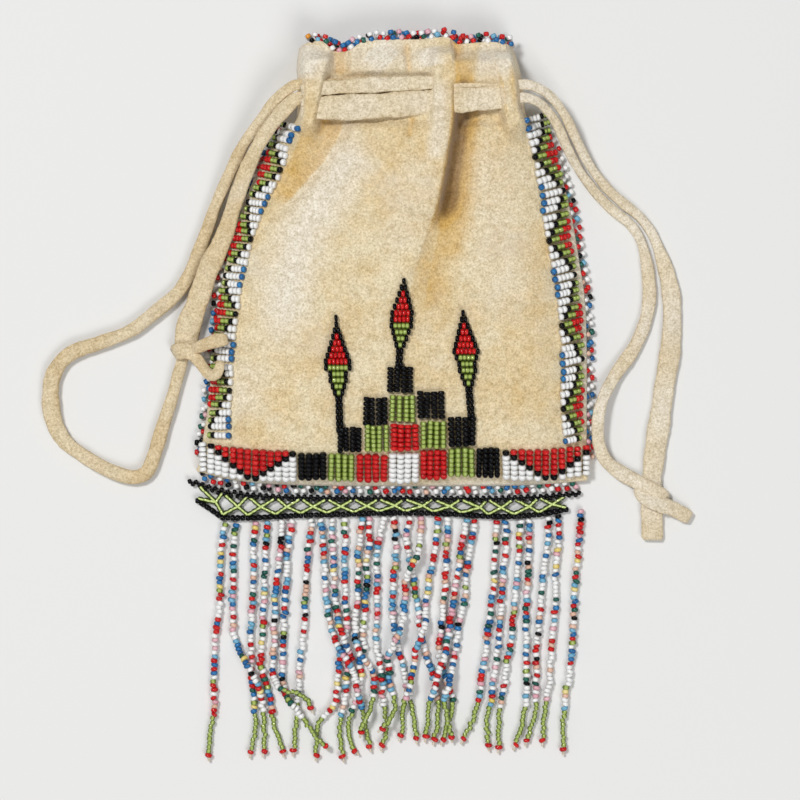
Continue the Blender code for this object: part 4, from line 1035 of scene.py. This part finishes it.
# Side borders: inner and outer line in pixels, and the repeat of rows from inner to outer bead
LEFT_INNER_PX = [
    (299, 129), (291, 140), (285, 161), (278, 182), (269, 197), (263, 212), (258, 225), (253, 239),
    (249, 253), (246, 271), (241, 291), (238, 315), (235, 344), (233, 372), (232, 390), (231, 410),
    (230, 435),
]
LEFT_OUTER_PX = [
    (279, 124), (271, 138), (264, 159), (257, 181), (249, 196), (244, 211), (239, 224), (234, 238),
    (230, 252), (226, 270), (220, 290), (216, 315), (213, 344), (211, 372), (210, 390), (209, 410),
    (208, 435),
]
RIGHT_INNER_PX = [
    (526, 121), (531, 151), (534, 160), (537, 182), (540, 192), (543, 224), (547, 242), (549, 256),
    (552, 270), (555, 291), (558, 308), (560, 325), (561, 341), (561, 402), (562, 425), (563, 441),
]
RIGHT_OUTER_PX = [
    (547, 114), (554, 142), (558, 158), (562, 178), (566, 200), (569, 225), (572, 244), (575, 266),
    (578, 288), (581, 312), (582, 335), (583, 368), (583, 400), (582, 437),
]
BORDER_REPEAT = [
    "KGGRRR", "WKGGRR", "WWKGGR", "WWWKGG", "BWWWKG", "BWWWWK", "BWWWKG", "BWWWKGG", "WWWKGG",
    "WWKGGR", "WKGGRR",
]
# The row of the repeat at each border's top; the left border leaves out one row of the repeat
BORDER_START = {"left": 4, "right": 6}
LEFT_OUT = 7
INNER_JITTER_PX = (1.0, 0.7)
OUTER_JITTER_PX = (1.2, 1.0)
BORDER_TURN = 0.1
BORDER_ROWS = 43
BORDER_BEAD = 1.86 * MM
BEAD_WIDTH = 1.92 * MM


def border_beads():
    sides = {"left": (LEFT_INNER_PX, LEFT_OUTER_PX), "right": (RIGHT_INNER_PX, RIGHT_OUTER_PX)}
    for side, lines in sides.items():
        repeat = list(BORDER_REPEAT)
        if side == "left":
            del repeat[LEFT_OUT]
        inner, outer = (spaced_line(line, BORDER_ROWS) for line in lines)
        beads = []
        for k in range(BORDER_ROWS):
            letters = repeat[(k + BORDER_START[side]) % len(repeat)]
            near = inner[k] + jitter(*INNER_JITTER_PX)
            far = outer[k] + jitter(*OUTER_JITTER_PX)
            beads += row_of_beads(near, far, letters, BORDER_BEAD, BORDER_TURN)
        sew(f"{side}_border", beads)


# Bottom lane: each column from its top to its bottom bead; the right end leaves out the outer ones
LANE_LEFT = [
    "WWWWWW", "KWWWWW", "RKWWWW", "RRKWWW", "RRRKWW", "RRRRKW", "RRRRRK", "RRRRRK", "RRRRKW",
    "RRRKWW", "RRKWWW", "RKWWWW", "KWWWWW",
]
LANE_LEFT_PX = [(203, 442, 472), (230, 447, 477), (262, 450, 480), (293, 452, 481)]
LANE_RIGHT_PX = [(506, 450, 479), (549, 449, 480), (586, 445, 475)]
# Blocks of the stepped figure: colour, left, right, top and bottom in pixels
BLOCKS_PX = {
    "lane_middle": [("K", 298, 327, 453, 479), ("G", 328, 355, 454, 480), ("R", 356, 388, 455, 481),
                    ("W", 389, 419, 453, 482), ("R", 420, 447, 450, 479), ("G", 448, 475, 448, 476),
                    ("K", 476, 500, 448, 477)],
    "tier_two": [("K", 337, 362, 427, 452), ("G", 364, 389, 425, 452), ("R", 390, 419, 424, 451),
                 ("G", 420, 447, 421, 448), ("K", 448, 476, 417, 446)],
    "tier_three": [("K", 363, 388, 397, 425), ("G", 389, 416, 395, 422), ("K", 417, 445, 391, 419)],
    "tier_four": [("K", 387, 414, 366, 393)],
}
LANE_JITTER_PX = (0.5, 0.6)
BLOCK_JITTER_PX = (0.6, 0.8)
BLOCK_COLUMNS = 4
COLUMN_FILL = 1.05
LARGEST_BEAD = 2.15 * MM
LANE_BEADS = 6


def column_width(pitch):
    """Bead width that fills the space between sewn columns, from their pitch in pixels."""
    return min(LARGEST_BEAD, COLUMN_FILL * pitch * PIXEL)


def lane_beads():
    sections = (
        ("lane_left", LANE_LEFT, LANE_LEFT_PX),
        ("lane_right", LANE_LEFT[1:-1], LANE_RIGHT_PX),
    )
    for name, columns, line in sections:
        beads = []
        pitch = (line[-1][0] - line[0][0]) / (len(columns) - 1)
        width = column_width(pitch)
        for k, letters in enumerate(columns):
            x = line[0][0] + pitch * k
            top = Vector((x, follow(line, x, 1))) + jitter(*LANE_JITTER_PX)
            low = Vector((x, follow(line, x, 2))) + jitter(*LANE_JITTER_PX)
            beads += row_of_beads(top, low, letters, width)
        sew(name, beads)
    for name, blocks in BLOCKS_PX.items():
        sew(name, block_beads(blocks))


def block_beads(blocks):
    """Blocks of four sewn columns each in one colour."""
    beads = []
    for letter, left, right, top, low in blocks:
        pitch = (right - left) / BLOCK_COLUMNS
        for c in range(BLOCK_COLUMNS):
            x = left + pitch * (c + 0.5)
            start = Vector((x, top)) + jitter(*BLOCK_JITTER_PX)
            end = Vector((x, low)) + jitter(*BLOCK_JITTER_PX)
            beads += row_of_beads(start, end, letter * LANE_BEADS, column_width(pitch))
    return beads


# Feathers: rows of beads from the tip down, black at both ends of each
FEATHERS = {
    "left_feather": ((336, 318), (340, 430), [
        "K", "K", "KK", "KRK", "KRRK", "KRRRK", "KRRRRK", "KRRRRRK", "KGGGGGK", "KGGGK", "KGGGK",
        "KGGK", "KGK", "KK", "KK", "KK", "KK", "KK", "KK",
    ]),
    "middle_feather": ((404, 281), (399, 364), [
        "K", "KK", "KRK", "KRRK", "KRRRK", "KRRRRK", "KRRRRK", "KGGGGK", "KGGGK", "KGGK", "KGK",
        "KK", "KK", "KK",
    ]),
    "right_feather": ((463, 313), (471, 415), [
        "K", "KK", "KRK", "KRRK", "KRRRK", "KRRRRK", "KRRRRRK", "KGGGGK", "KGGGK", "KGGGK", "KGGK",
        "KGK", "KK", "KK", "KK", "KK", "KK",
    ]),
}
FEATHER_BEAD_PX = 4.0


def feather_beads():
    for name, (tip, foot, rows) in FEATHERS.items():
        tip, foot = Vector(tip), Vector(foot)
        beads = []
        for k, letters in enumerate(rows):
            middle = tip.lerp(foot, k / (len(rows) - 1))
            half = Vector((FEATHER_BEAD_PX * len(letters) / 2, 0))
            beads += row_of_beads(middle - half, middle + half, letters, BEAD_WIDTH)
        sew(name, beads)


# Edge beading that closes the seams, in mixed colours: one bead in the stitch and one standing out
EDGE_MIX = "WWWWWWWWBBBLRRRRPKTH"
RIM_MIX = "WWWWBBBLRRRRTTAPK"
SIDE_SHARES = (0.80, 0.06)
HEM_SHARES = (-0.485, 0.48)
MOUTH_SHARES = (0.298, -0.225)
SIDE_PITCH = 2.45 * MM
HEM_PITCH = 2.3 * MM
RIM_PITCH = 2.05 * MM
# How far the two beads of a stitch stand out, in millimetres
SEAM_OFFS = (0.2, 1.4)
FRONT_RIM_OFFS = (0.5, 1.9)
BACK_RIM_OFFS = (0.9, 2.4)
SEAM_Z = 1.2 * MM
LINE_STEPS = 60
# How unevenly they are set, in millimetres: along the seam, outwards and in height
ALONG_OFFS = (-0.3, 0.3)
OUTWARD_OFFS = (-0.2, 0.35)
HEIGHT_OFFS = (-0.1, 0.3)
OUTER_DROP = 0.25
OUTER_LAG_SHARE = 0.3
TURN_SHARES = ((0.2, 0.9), (0.6, 1.0))
EDGE_SIZES = (1.5, 1.8)
EDGE_LENGTH_SHARE = 0.85


def seam_height(x, y):
    return SEAM_Z


def rim_height(x, y):
    return front_height(x, y) - HIDE / 2


def between(shares):
    """Shares in even steps from the first to the second."""
    first, last = shares
    return [first + (last - first) * k / LINE_STEPS for k in range(LINE_STEPS + 1)]


def edge_beads():
    down = [y_at(share) for share in between(SIDE_SHARES)]
    hem = [share * BODY_WIDTH for share in between(HEM_SHARES)]
    rim = [(share * BODY_WIDTH, rim_at(share * BODY_WIDTH)) for share in between(MOUTH_SHARES)]
    seams = {
        "left_edge": ([(edges_at(y)[0], y) for y in down], SIDE_PITCH),
        "right_edge": ([(edges_at(y)[1], y) for y in reversed(down)], SIDE_PITCH),
        "bottom_edge": ([(x, bottom_at(x)) for x in hem], HEM_PITCH),
    }
    for name, (line, pitch) in seams.items():
        beads = beads_beside(line, seam_height, EDGE_MIX, pitch, SEAM_OFFS)
        sew(name, beads)
    rims = {
        "front_rim": beads_beside(rim, rim_height, RIM_MIX, RIM_PITCH, FRONT_RIM_OFFS),
        "back_rim": beads_beside(rim, seam_height, RIM_MIX, HEM_PITCH, BACK_RIM_OFFS),
    }
    for name, beads in rims.items():
        sew(name, beads)


def beads_beside(line, height, mix, pitch, offs):
    """Edge beads along a line: the first lies in the seam, the others stand out on its right side."""
    beads = []
    places = smooth_route([(x, y, 0) for x, y in line], pitch)
    for k in range(len(places) - 1):
        here = Vector(places[k][:2])
        along = (Vector(places[k + 1][:2]) - here).normalized()
        out = Vector((along.y, -along.x))
        for n, off in enumerate(offs):
            slide = along * (n * pitch * OUTER_LAG_SHARE + rng.uniform(*ALONG_OFFS) * MM)
            spot = here + slide + out * (off + rng.uniform(*OUTWARD_OFFS)) * MM
            lift = height(here.x, here.y) + (rng.uniform(*HEIGHT_OFFS) - OUTER_DROP * n) * MM
            turn = along.lerp(out, rng.uniform(*TURN_SHARES[n]))
            size = rng.uniform(*EDGE_SIZES) * MM
            place = Vector((*spot, lift))
            beads.append((place, Vector((*turn, 0)), size * EDGE_LENGTH_SHARE, size, rng.choice(mix)))
    return beads


# The net and its two rows of black beads
NET_GAP = 0.6 * MM
EDGE_BEAD = 2.0 * MM
NET_DROP_SHARES = [
    (-0.54, 0.035), (-0.49, 0.050), (-0.44, 0.072), (-0.36, 0.061), (-0.25, 0.049), (-0.13, 0.044),
    (0.01, 0.040), (0.15, 0.042), (0.25, 0.049), (0.36, 0.049), (0.45, 0.040), (0.51, 0.032),
]
NET_CORNERS_PX = [216, 238, 261, 287, 313, 341, 367, 395, 423, 450, 480, 501, 529, 552]
NET_FEET_PX = [198, 223, 248, 276, 301, 327, 354, 379, 405, 433, 461, 488, 514, 539, 566]
NET_ENDS_PX = (190, 585)
NET_Z = 1.05 * MM
# The two rows along its top: depth, beads and the first one's shift, then the rows' unevenness
NET_ROWS = ((0.06, 62, 0.0), (0.17, 61, 0.5))
ROW_PLACES = NET_ROWS[0][1]
ROW_TURN = 0.6
ROW_DEPTH = 0.02
ROW_STEP = 0.1 * MM
ROW_BEAD = (1.25 * MM, 1.4 * MM)
# Depths of the strings' heads, corners and feet, and of the closing row
HEAD_DEPTH, CORNER_DEPTH, FOOT_DEPTH, LAST_DEPTH = 0.20, 0.52, 0.82, 0.93
HEAD_STEP = 0.4 * MM
LAST_STEP = 0.7 * MM
STRING_BEADS = 3
LAST_BEADS = 4
STRING_BEAD = 1.45 * MM
LAST_BEAD = (1.5 * MM, 1.7 * MM)
STRING_OVERLAP = 1.08


def net_lines(x):
    """Top and bottom line of the net at x."""
    top = bottom_at(x) - SEAM_GAP - EDGE_BEAD - NET_GAP
    return top, top - follow(NET_DROP_SHARES, x / BODY_WIDTH) * BODY_HEIGHT


def in_net(px, depth, lift=0.0):
    x = to_metres(px, 0)[0]
    top, low = net_lines(x)
    return Vector((x, top + (low - top) * depth, NET_Z + lift))


def string_between(start, end, count, letter, width):
    """Beads end to end from one place to another."""
    step = (end - start) / count
    length = step.length * STRING_OVERLAP
    return [(start + step * (k + 0.5), step, length, width, letter) for k in range(count)]


def net_beads():
    beads = []
    left, right = NET_ENDS_PX
    for row, (depth, count, first) in enumerate(NET_ROWS):
        for k in range(count):
            px = left + (right - left) * (k + first) / ROW_PLACES
            turn = Vector((1, rng.uniform(-ROW_TURN, ROW_TURN), 0))
            place = in_net(px, depth + rng.uniform(-ROW_DEPTH, ROW_DEPTH), ROW_STEP * row)
            beads.append((place, turn, *ROW_BEAD, "K"))
    corners = [in_net(px, CORNER_DEPTH) for px in NET_CORNERS_PX]
    feet = [in_net(px, FOOT_DEPTH) for px in NET_FEET_PX]
    heads = [in_net(px, HEAD_DEPTH) for px in NET_FEET_PX]
    for k, corner in enumerate(corners):
        for foot, head in list(zip(feet, heads))[k:k + 2]:
            top = head + (corner - foot).normalized() * HEAD_STEP
            beads += string_between(top, corner, STRING_BEADS, "N", STRING_BEAD)
            beads += string_between(foot, corner, STRING_BEADS, "N", STRING_BEAD)
    last = [in_net(px, LAST_DEPTH) for px in NET_FEET_PX]
    for k, middle in enumerate(last):
        beads.append((middle, Vector((1, 0, 0)), *LAST_BEAD, "K"))
        if k:
            step = (middle - last[k - 1]).normalized() * LAST_STEP
            beads += string_between(last[k - 1] + step, middle - step, LAST_BEADS, "K", LAST_BEAD[1])
    bead_cluster("net_beads", beads, "net", ["bead_net"])


# The fringe
FRINGE_GROUPS = [(1, 1), (2, 4), (5, 12), (13, 20)] + [(n, n) for n in range(21, 28)]
FRINGE_MIX = "WWWWWWWWWWWWWRRRRRRBBBBLLLPPTTKGHHY"
TIP_BEADS = 9
FRINGE_PITCH = 1.16 * MM
THREAD_SPACING = 1.2 * MM
TIP_WIDTHS = (1.4 * MM, 1.55 * MM)
FRINGE_WIDTHS = (1.8 * MM, 2.25 * MM)
FRINGE_ASIDE = 0.3 * MM
FRINGE_TILT = 0.45
FRINGE_LENGTHS = (0.95, 1.2)


def thread_along(name, places, thickness):
    """Thread as a round curve through the places."""
    curve = bpy.data.curves.new(name, "CURVE")
    curve.dimensions = "3D"
    curve.bevel_depth = thickness / 2
    curve.bevel_resolution = 2
    curve.use_fill_caps = True
    spline = curve.splines.new("POLY")
    spline.points.add(len(places) - 1)
    for point, place in zip(spline.points, places):
        point.co = (*place[:3], 1)
    curve.materials.append(THREAD_COTTON)
    obj = bpy.data.objects.new(name, curve)
    bpy.context.collection.objects.link(obj)
    return obj


def strand_height(layer=0):
    """Height of a strand's middle, on the floor or on a layer of other strands."""
    return FRINGE_TUBE / 2 + layer * LAYER


def fringe():
    for first, last in FRINGE_GROUPS:
        body = f"fringe_{first:02d}" + (f"_to_{last:02d}" if last > first else "")
        for number in range(first, last + 1):
            route = FRINGE_ROUTES_PX[number - 1]
            points = [(*to_metres(px, py), strand_height(*layer)) for px, py, *layer in route]
            top_x = points[0][0]
            points[0] = (top_x, net_lines(top_x)[1] - 2 * CLEAR, strand_height())
            places = smooth_route(points, THREAD_SPACING)
            name = f"fringe_thread_{number:02d}"
            thread = thread_along(name, places, THREAD)
            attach(thread, body)
            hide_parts(f"fringe_strand_{number:02d}")
            string = strung_beads(number, points, body)


def strung_beads(number, points, body):
    places = smooth_route(points, FRINGE_PITCH)
    spots = places[:-2]
    beads = []
    for k, place in enumerate(spots):
        ahead = Vector(places[k + 1][:3]) - Vector(place[:3])
        middle = Vector(place[:3]) + ahead / 2
        left = len(spots) - k
        in_tip = 1 < left <= TIP_BEADS + 1
        letter = "G" if in_tip else "R" if left == 1 else rng.choice(FRINGE_MIX)
        width = rng.uniform(*(TIP_WIDTHS if in_tip else FRINGE_WIDTHS))
        aside = ahead.cross(UP).normalized() * rng.uniform(-FRINGE_ASIDE, FRINGE_ASIDE)
        tilt = ahead + aside.normalized() * ahead.length * rng.uniform(-FRINGE_TILT, FRINGE_TILT)
        beads.append((middle + aside, tilt, ahead.length * rng.uniform(*FRINGE_LENGTHS), width, letter))
    return bead_cluster(f"fringe_beads_{number:02d}", beads, body, [])


# Thongs and their runs in the neck

def strap_places(route, spacing):
    points = [(*to_metres(px, py), z * MM, w * MM, t * MM) for px, py, z, w, t in route]
    return smooth_route(points, spacing)


# Waves along a strip: height, pace for each step and share of the strip's own shift
LEAN_WAVES = ((0.10, 0.21, 1), (0.06, 0.47, 2))
WIDTH_WAVES = ((0.04, 0.33, 1), (0.03, 0.81, 3))
GOLD_WAVES = ((0.15, 0.13, 1),)
RUBBED_AND_SHEEN_WAVES = ((0.3, 0.29, 1),)
WIDTH_JITTER = 0.025
SIDE_JITTER = (0.96, 1.03)
END_TAPER = 0.82
# Powers that make a circle a soft oblong
WIDE_POWER = 0.4
TALL_POWER = 0.65
# The golden tone grows towards a strip's edges, and the pale tone, partly rubbed wear and partly painted
# sheen on the flat faces, fades there
MIDDLE_GOLD = 0.5
EDGE_FADE = 0.7
RUBBED_AND_SHEEN_MIDDLE = 0.8


def waves(table, k, shift):
    """The sum of a table's waves at step k of a strip."""
    return sum(height * math.sin(k * pace + turns * shift) for height, pace, turns in table)


def strap(name, places, shift, sides, gold, rub_and_sheen):
    """A cut strip of hide along a route: soft oblong section, a little uneven in width and tilt."""
    bm = bmesh.new()
    layer = bm.verts.layers.float.new("fold")
    rubbed_and_lit_layer = bm.verts.layers.float.new("rubbed_and_lit")
    previous = None
    last = len(places) - 1
    for k, place in enumerate(places):
        here = Vector(place[:3])
        along = (Vector(places[min(k + 1, last)][:3]) - Vector(places[max(k - 1, 0)][:3])).normalized()
        side = along.cross(UP).normalized()
        side = (side + side.cross(along) * waves(LEAN_WAVES, k, shift)).normalized()
        up = side.cross(along)
        uneven = 1 + waves(WIDTH_WAVES, k, shift) + rng.uniform(-WIDTH_JITTER, WIDTH_JITTER)
        taper = END_TAPER if k in (0, last) else 1
        half, thick = place[3] / 2 * uneven * taper, place[4] / 2 * taper
        ring = bmesh.ops.create_circle(bm, segments=sides, radius=1)["verts"]
        for v in ring:
            a = math.atan2(v.co.y, v.co.x)
            wide = math.copysign(abs(math.cos(a)) ** WIDE_POWER, math.cos(a)) * half
            tall = math.copysign(abs(math.sin(a)) ** TALL_POWER, math.sin(a)) * thick
            v.co = here + side * wide * rng.uniform(*SIDE_JITTER) + up * tall
            beside_edge = math.cos(a) ** 2
            v[layer] = gold * (MIDDLE_GOLD + beside_edge) + waves(GOLD_WAVES, k, shift)
            # Pale rubbed wear with painted sheen on the strip's flat faces, fading towards its edges
            rubbed_and_lit = RUBBED_AND_SHEEN_MIDDLE + waves(RUBBED_AND_SHEEN_WAVES, k, shift)
            v[rubbed_and_lit_layer] = rub_and_sheen * (1 - EDGE_FADE * beside_edge) * rubbed_and_lit
        edges = list(dict.fromkeys(edge for v in ring for edge in v.link_edges))
        if previous:
            bmesh.ops.bridge_loops(bm, edges=previous + edges)
        else:
            bmesh.ops.contextual_create(bm, geom=edges)
        previous = edges
    bmesh.ops.contextual_create(bm, geom=previous)
    bmesh.ops.recalc_face_normals(bm, faces=bm.faces)
    return link(name, mesh_from(name, bm), thong_suede)


# How the strips lie in the knots: the part of each free strand inside it, then the turns and tails
INTO_KNOT_PX = {
    "left_outer_strand": [(184, 356, 1.7, 3.6, 1.8)],
    "left_inner_strand": [(186, 347, 2.4, 6.0, 1.6), (186, 353, 2.0, 5.0, 1.6)],
    "right_outer_strand": [(651, 484, 1.2, 5.8, 1.6), (651, 494, 1.2, 5.8, 1.6)],
    "right_inner_strand": [(646, 487, 2.9, 4.4, 1.6), (655, 492, 3.1, 4.4, 1.6),
                           (662, 496, 2.6, 4.2, 1.6), (665, 499, 1.6, 3.8, 1.6)],
}
KNOT_STRIPS_PX = {
    "left_knot": [
        [(175, 353, 1.4, 4.2, 1.6), (177, 352, 2.8, 4.6, 1.6), (183, 351, 4.1, 4.8, 1.6),
         (190, 352, 4.3, 4.4, 1.6), (197, 358, 4.6, 3.4, 1.6), (204, 367, 6.0, 3.2, 1.6),
         (210, 374, 7.6, 3.4, 1.6), (217, 375, 9.0, 3.2, 1.6), (221, 369, 9.7, 2.8, 1.5),
         (222, 361, 9.9, 2.4, 1.4)],
        [(184, 355, 2.0, 3.4, 1.6), (191, 350, 3.0, 2.8, 1.8), (198, 348, 5.4, 3.2, 1.8),
         (209, 344, 7.4, 3.8, 1.8), (220, 341, 9.0, 4.0, 1.8), (229, 340, 9.8, 3.4, 1.6)],
        [(181, 345, 1.4, 3.8, 1.6), (182, 353, 1.4, 4.4, 1.6), (184, 360, 1.3, 3.8, 1.6)],
    ],
    "right_knot": [
        [(639, 487, 1.2, 3.6, 1.6), (641, 493, 2.4, 4.0, 1.6), (648, 500, 3.2, 4.2, 1.6),
         (658, 504, 3.0, 4.2, 1.6), (668, 507, 2.2, 4.4, 1.6), (679, 512, 1.6, 4.4, 1.6),
         (690, 518, 1.2, 3.8, 1.4)],
        [(651, 490, 1.2, 5.6, 1.6), (651, 508, 1.2, 5.9, 1.6), (652, 524, 1.1, 6.3, 1.6),
         (652, 540, 1.1, 6.3, 1.6)],
    ],
}
# How golden and how pale each thong is, the pale partly rubbed wear and partly painted sheen, and its
# lengths in the neck
THONG_TONES = {"left": (0.40, 0.1), "right": (0.12, 0.75)}
RUN_TONE = (0.15, 0.45)
THONG_SIDES = 12
RUN_SIDES = 24
RUN_SHIFT = 2.1
KNOT_SPACING = 1.0 * MM
THONG_SPACING = 1.2 * MM
RUN_SPACING = 0.8 * MM


def knot(side):
    """Overhand knot: the strip's turns over the free strands, and its loose tails."""
    name = f"{side}_knot"
    return [strap(f"{name}_strip_{k}", strap_places(route, KNOT_SPACING), k, THONG_SIDES, *THONG_TONES[side])
            for k, route in enumerate(KNOT_STRIPS_PX[name])]


def thongs():
    for side in ("left", "right"):
        body = f"{side}_thong"
        pieces = knot(side)
        for piece in pieces:
            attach(piece, body)
        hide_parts(f"{side}_knot")
        for number, (name, route) in enumerate(THONG_ROUTES_PX.items()):
            if not name.startswith(side):
                continue
            places = strap_places(route + INTO_KNOT_PX[name], THONG_SPACING)
            thong_name = name.replace("strand", "thong")
            piece = strap(thong_name, places, number, THONG_SIDES, *THONG_TONES[side])
            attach(piece, body)
            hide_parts(name)


# The thong's flat lengths in the front slits: middle and width in pixels, as the camera sees them
FRONT_RUNS_PX = {
    "upper_front_run": [(301, 90, 12.5), (330, 87.5, 14), (370, 85, 15), (410, 83.5, 14.5),
                        (436, 82.5, 12), (460, 84.0, 8), (490, 83.5, 7), (514, 84, 9)],
    "lower_front_run": [(301, 108.5, 22), (330, 107.8, 24.5), (370, 106.5, 25.5), (410, 103.5, 24.5),
                        (436, 101, 24.0), (460, 99.6, 25), (490, 98, 24), (514, 97, 22)],
}


def neck_runs():
    front_z = 2 * HIDE + SEAM_GAP + LOFT + THONG + 2 * CLEAR + THONG / 2
    routes = {name: [(*seen_at(px, py, front_z), width * PIXEL, THONG) for px, py, width in route]
              for name, route in FRONT_RUNS_PX.items()}
    low, high, split = (y_at(share) for share in (*CHANNEL_SHARES, RUN_SPLIT_SHARE))
    ends = [share * BODY_WIDTH for share in RUN_END_SHARES]
    back_z = HIDE + CLEAR + THONG / 2
    bands = {"lower_back_run": (low + CLEAR, split), "upper_back_run": (split + CLEAR, high - CLEAR)}
    for name, (y0, y1) in bands.items():
        routes[name] = [(x, (y0 + y1) / 2, back_z, y1 - y0, THONG) for x in (ends[0], 0, ends[1])]
    for number, (name, points) in enumerate(routes.items()):
        places = smooth_route(points, RUN_SPACING)
        piece = strap(name.replace("run", "thong"), places, number * RUN_SHIFT, RUN_SIDES, *RUN_TONE)
        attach(piece, "pouch")
        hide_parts(name)


border_beads()
lane_beads()
feather_beads()
edge_beads()
net_beads()
fringe()
thongs()
neck_runs()


# Studio: the floor lies just below the pouch; each lamp has a place, a size and a power
FLOOR_REACH = 2
FLOOR_DROP = 0.3 * MM
LAMPS = {"key": ((-0.62, 0.52, 1.60), 0.36, 18), "fill": ((0.45, -0.85, 1.2), 0.8, 7.5)}
SKY_STRENGTH = 0.29


def floor_material():
    mat, tree, shader = new_material("pale_floor")
    dress(tree, shader, {"Base Color": (0.80, 0.80, 0.79), "Roughness": 0.95})
    return mat


bm = bmesh.new()
bmesh.ops.create_grid(bm, x_segments=1, y_segments=1, size=FLOOR_REACH)
bmesh.ops.translate(bm, vec=(0, 0, -FLOOR_DROP), verts=bm.verts)
floor = link("floor", mesh_from("floor", bm), floor_material())


def area_light(name, place, size, power):
    data = bpy.data.lights.new(name, "AREA")
    data.shape = "DISK"
    data.size = size
    data.energy = power
    lamp = bpy.data.objects.new(name, data)
    lamp.location = place
    lamp.rotation_euler = (-Vector(place)).to_track_quat("-Z", "Y").to_euler()
    bpy.context.collection.objects.link(lamp)


for lamp_name, lamp_setting in LAMPS.items():
    area_light(lamp_name, *lamp_setting)
world = bpy.data.worlds.new("studio")
world.use_nodes = True
sky = world.node_tree.nodes["Background"]
sky.inputs["Color"].default_value = (1, 1, 1, 1)
sky.inputs["Strength"].default_value = SKY_STRENGTH
bpy.context.scene.world = world
bpy.context.scene.view_settings.view_transform = "Standard"
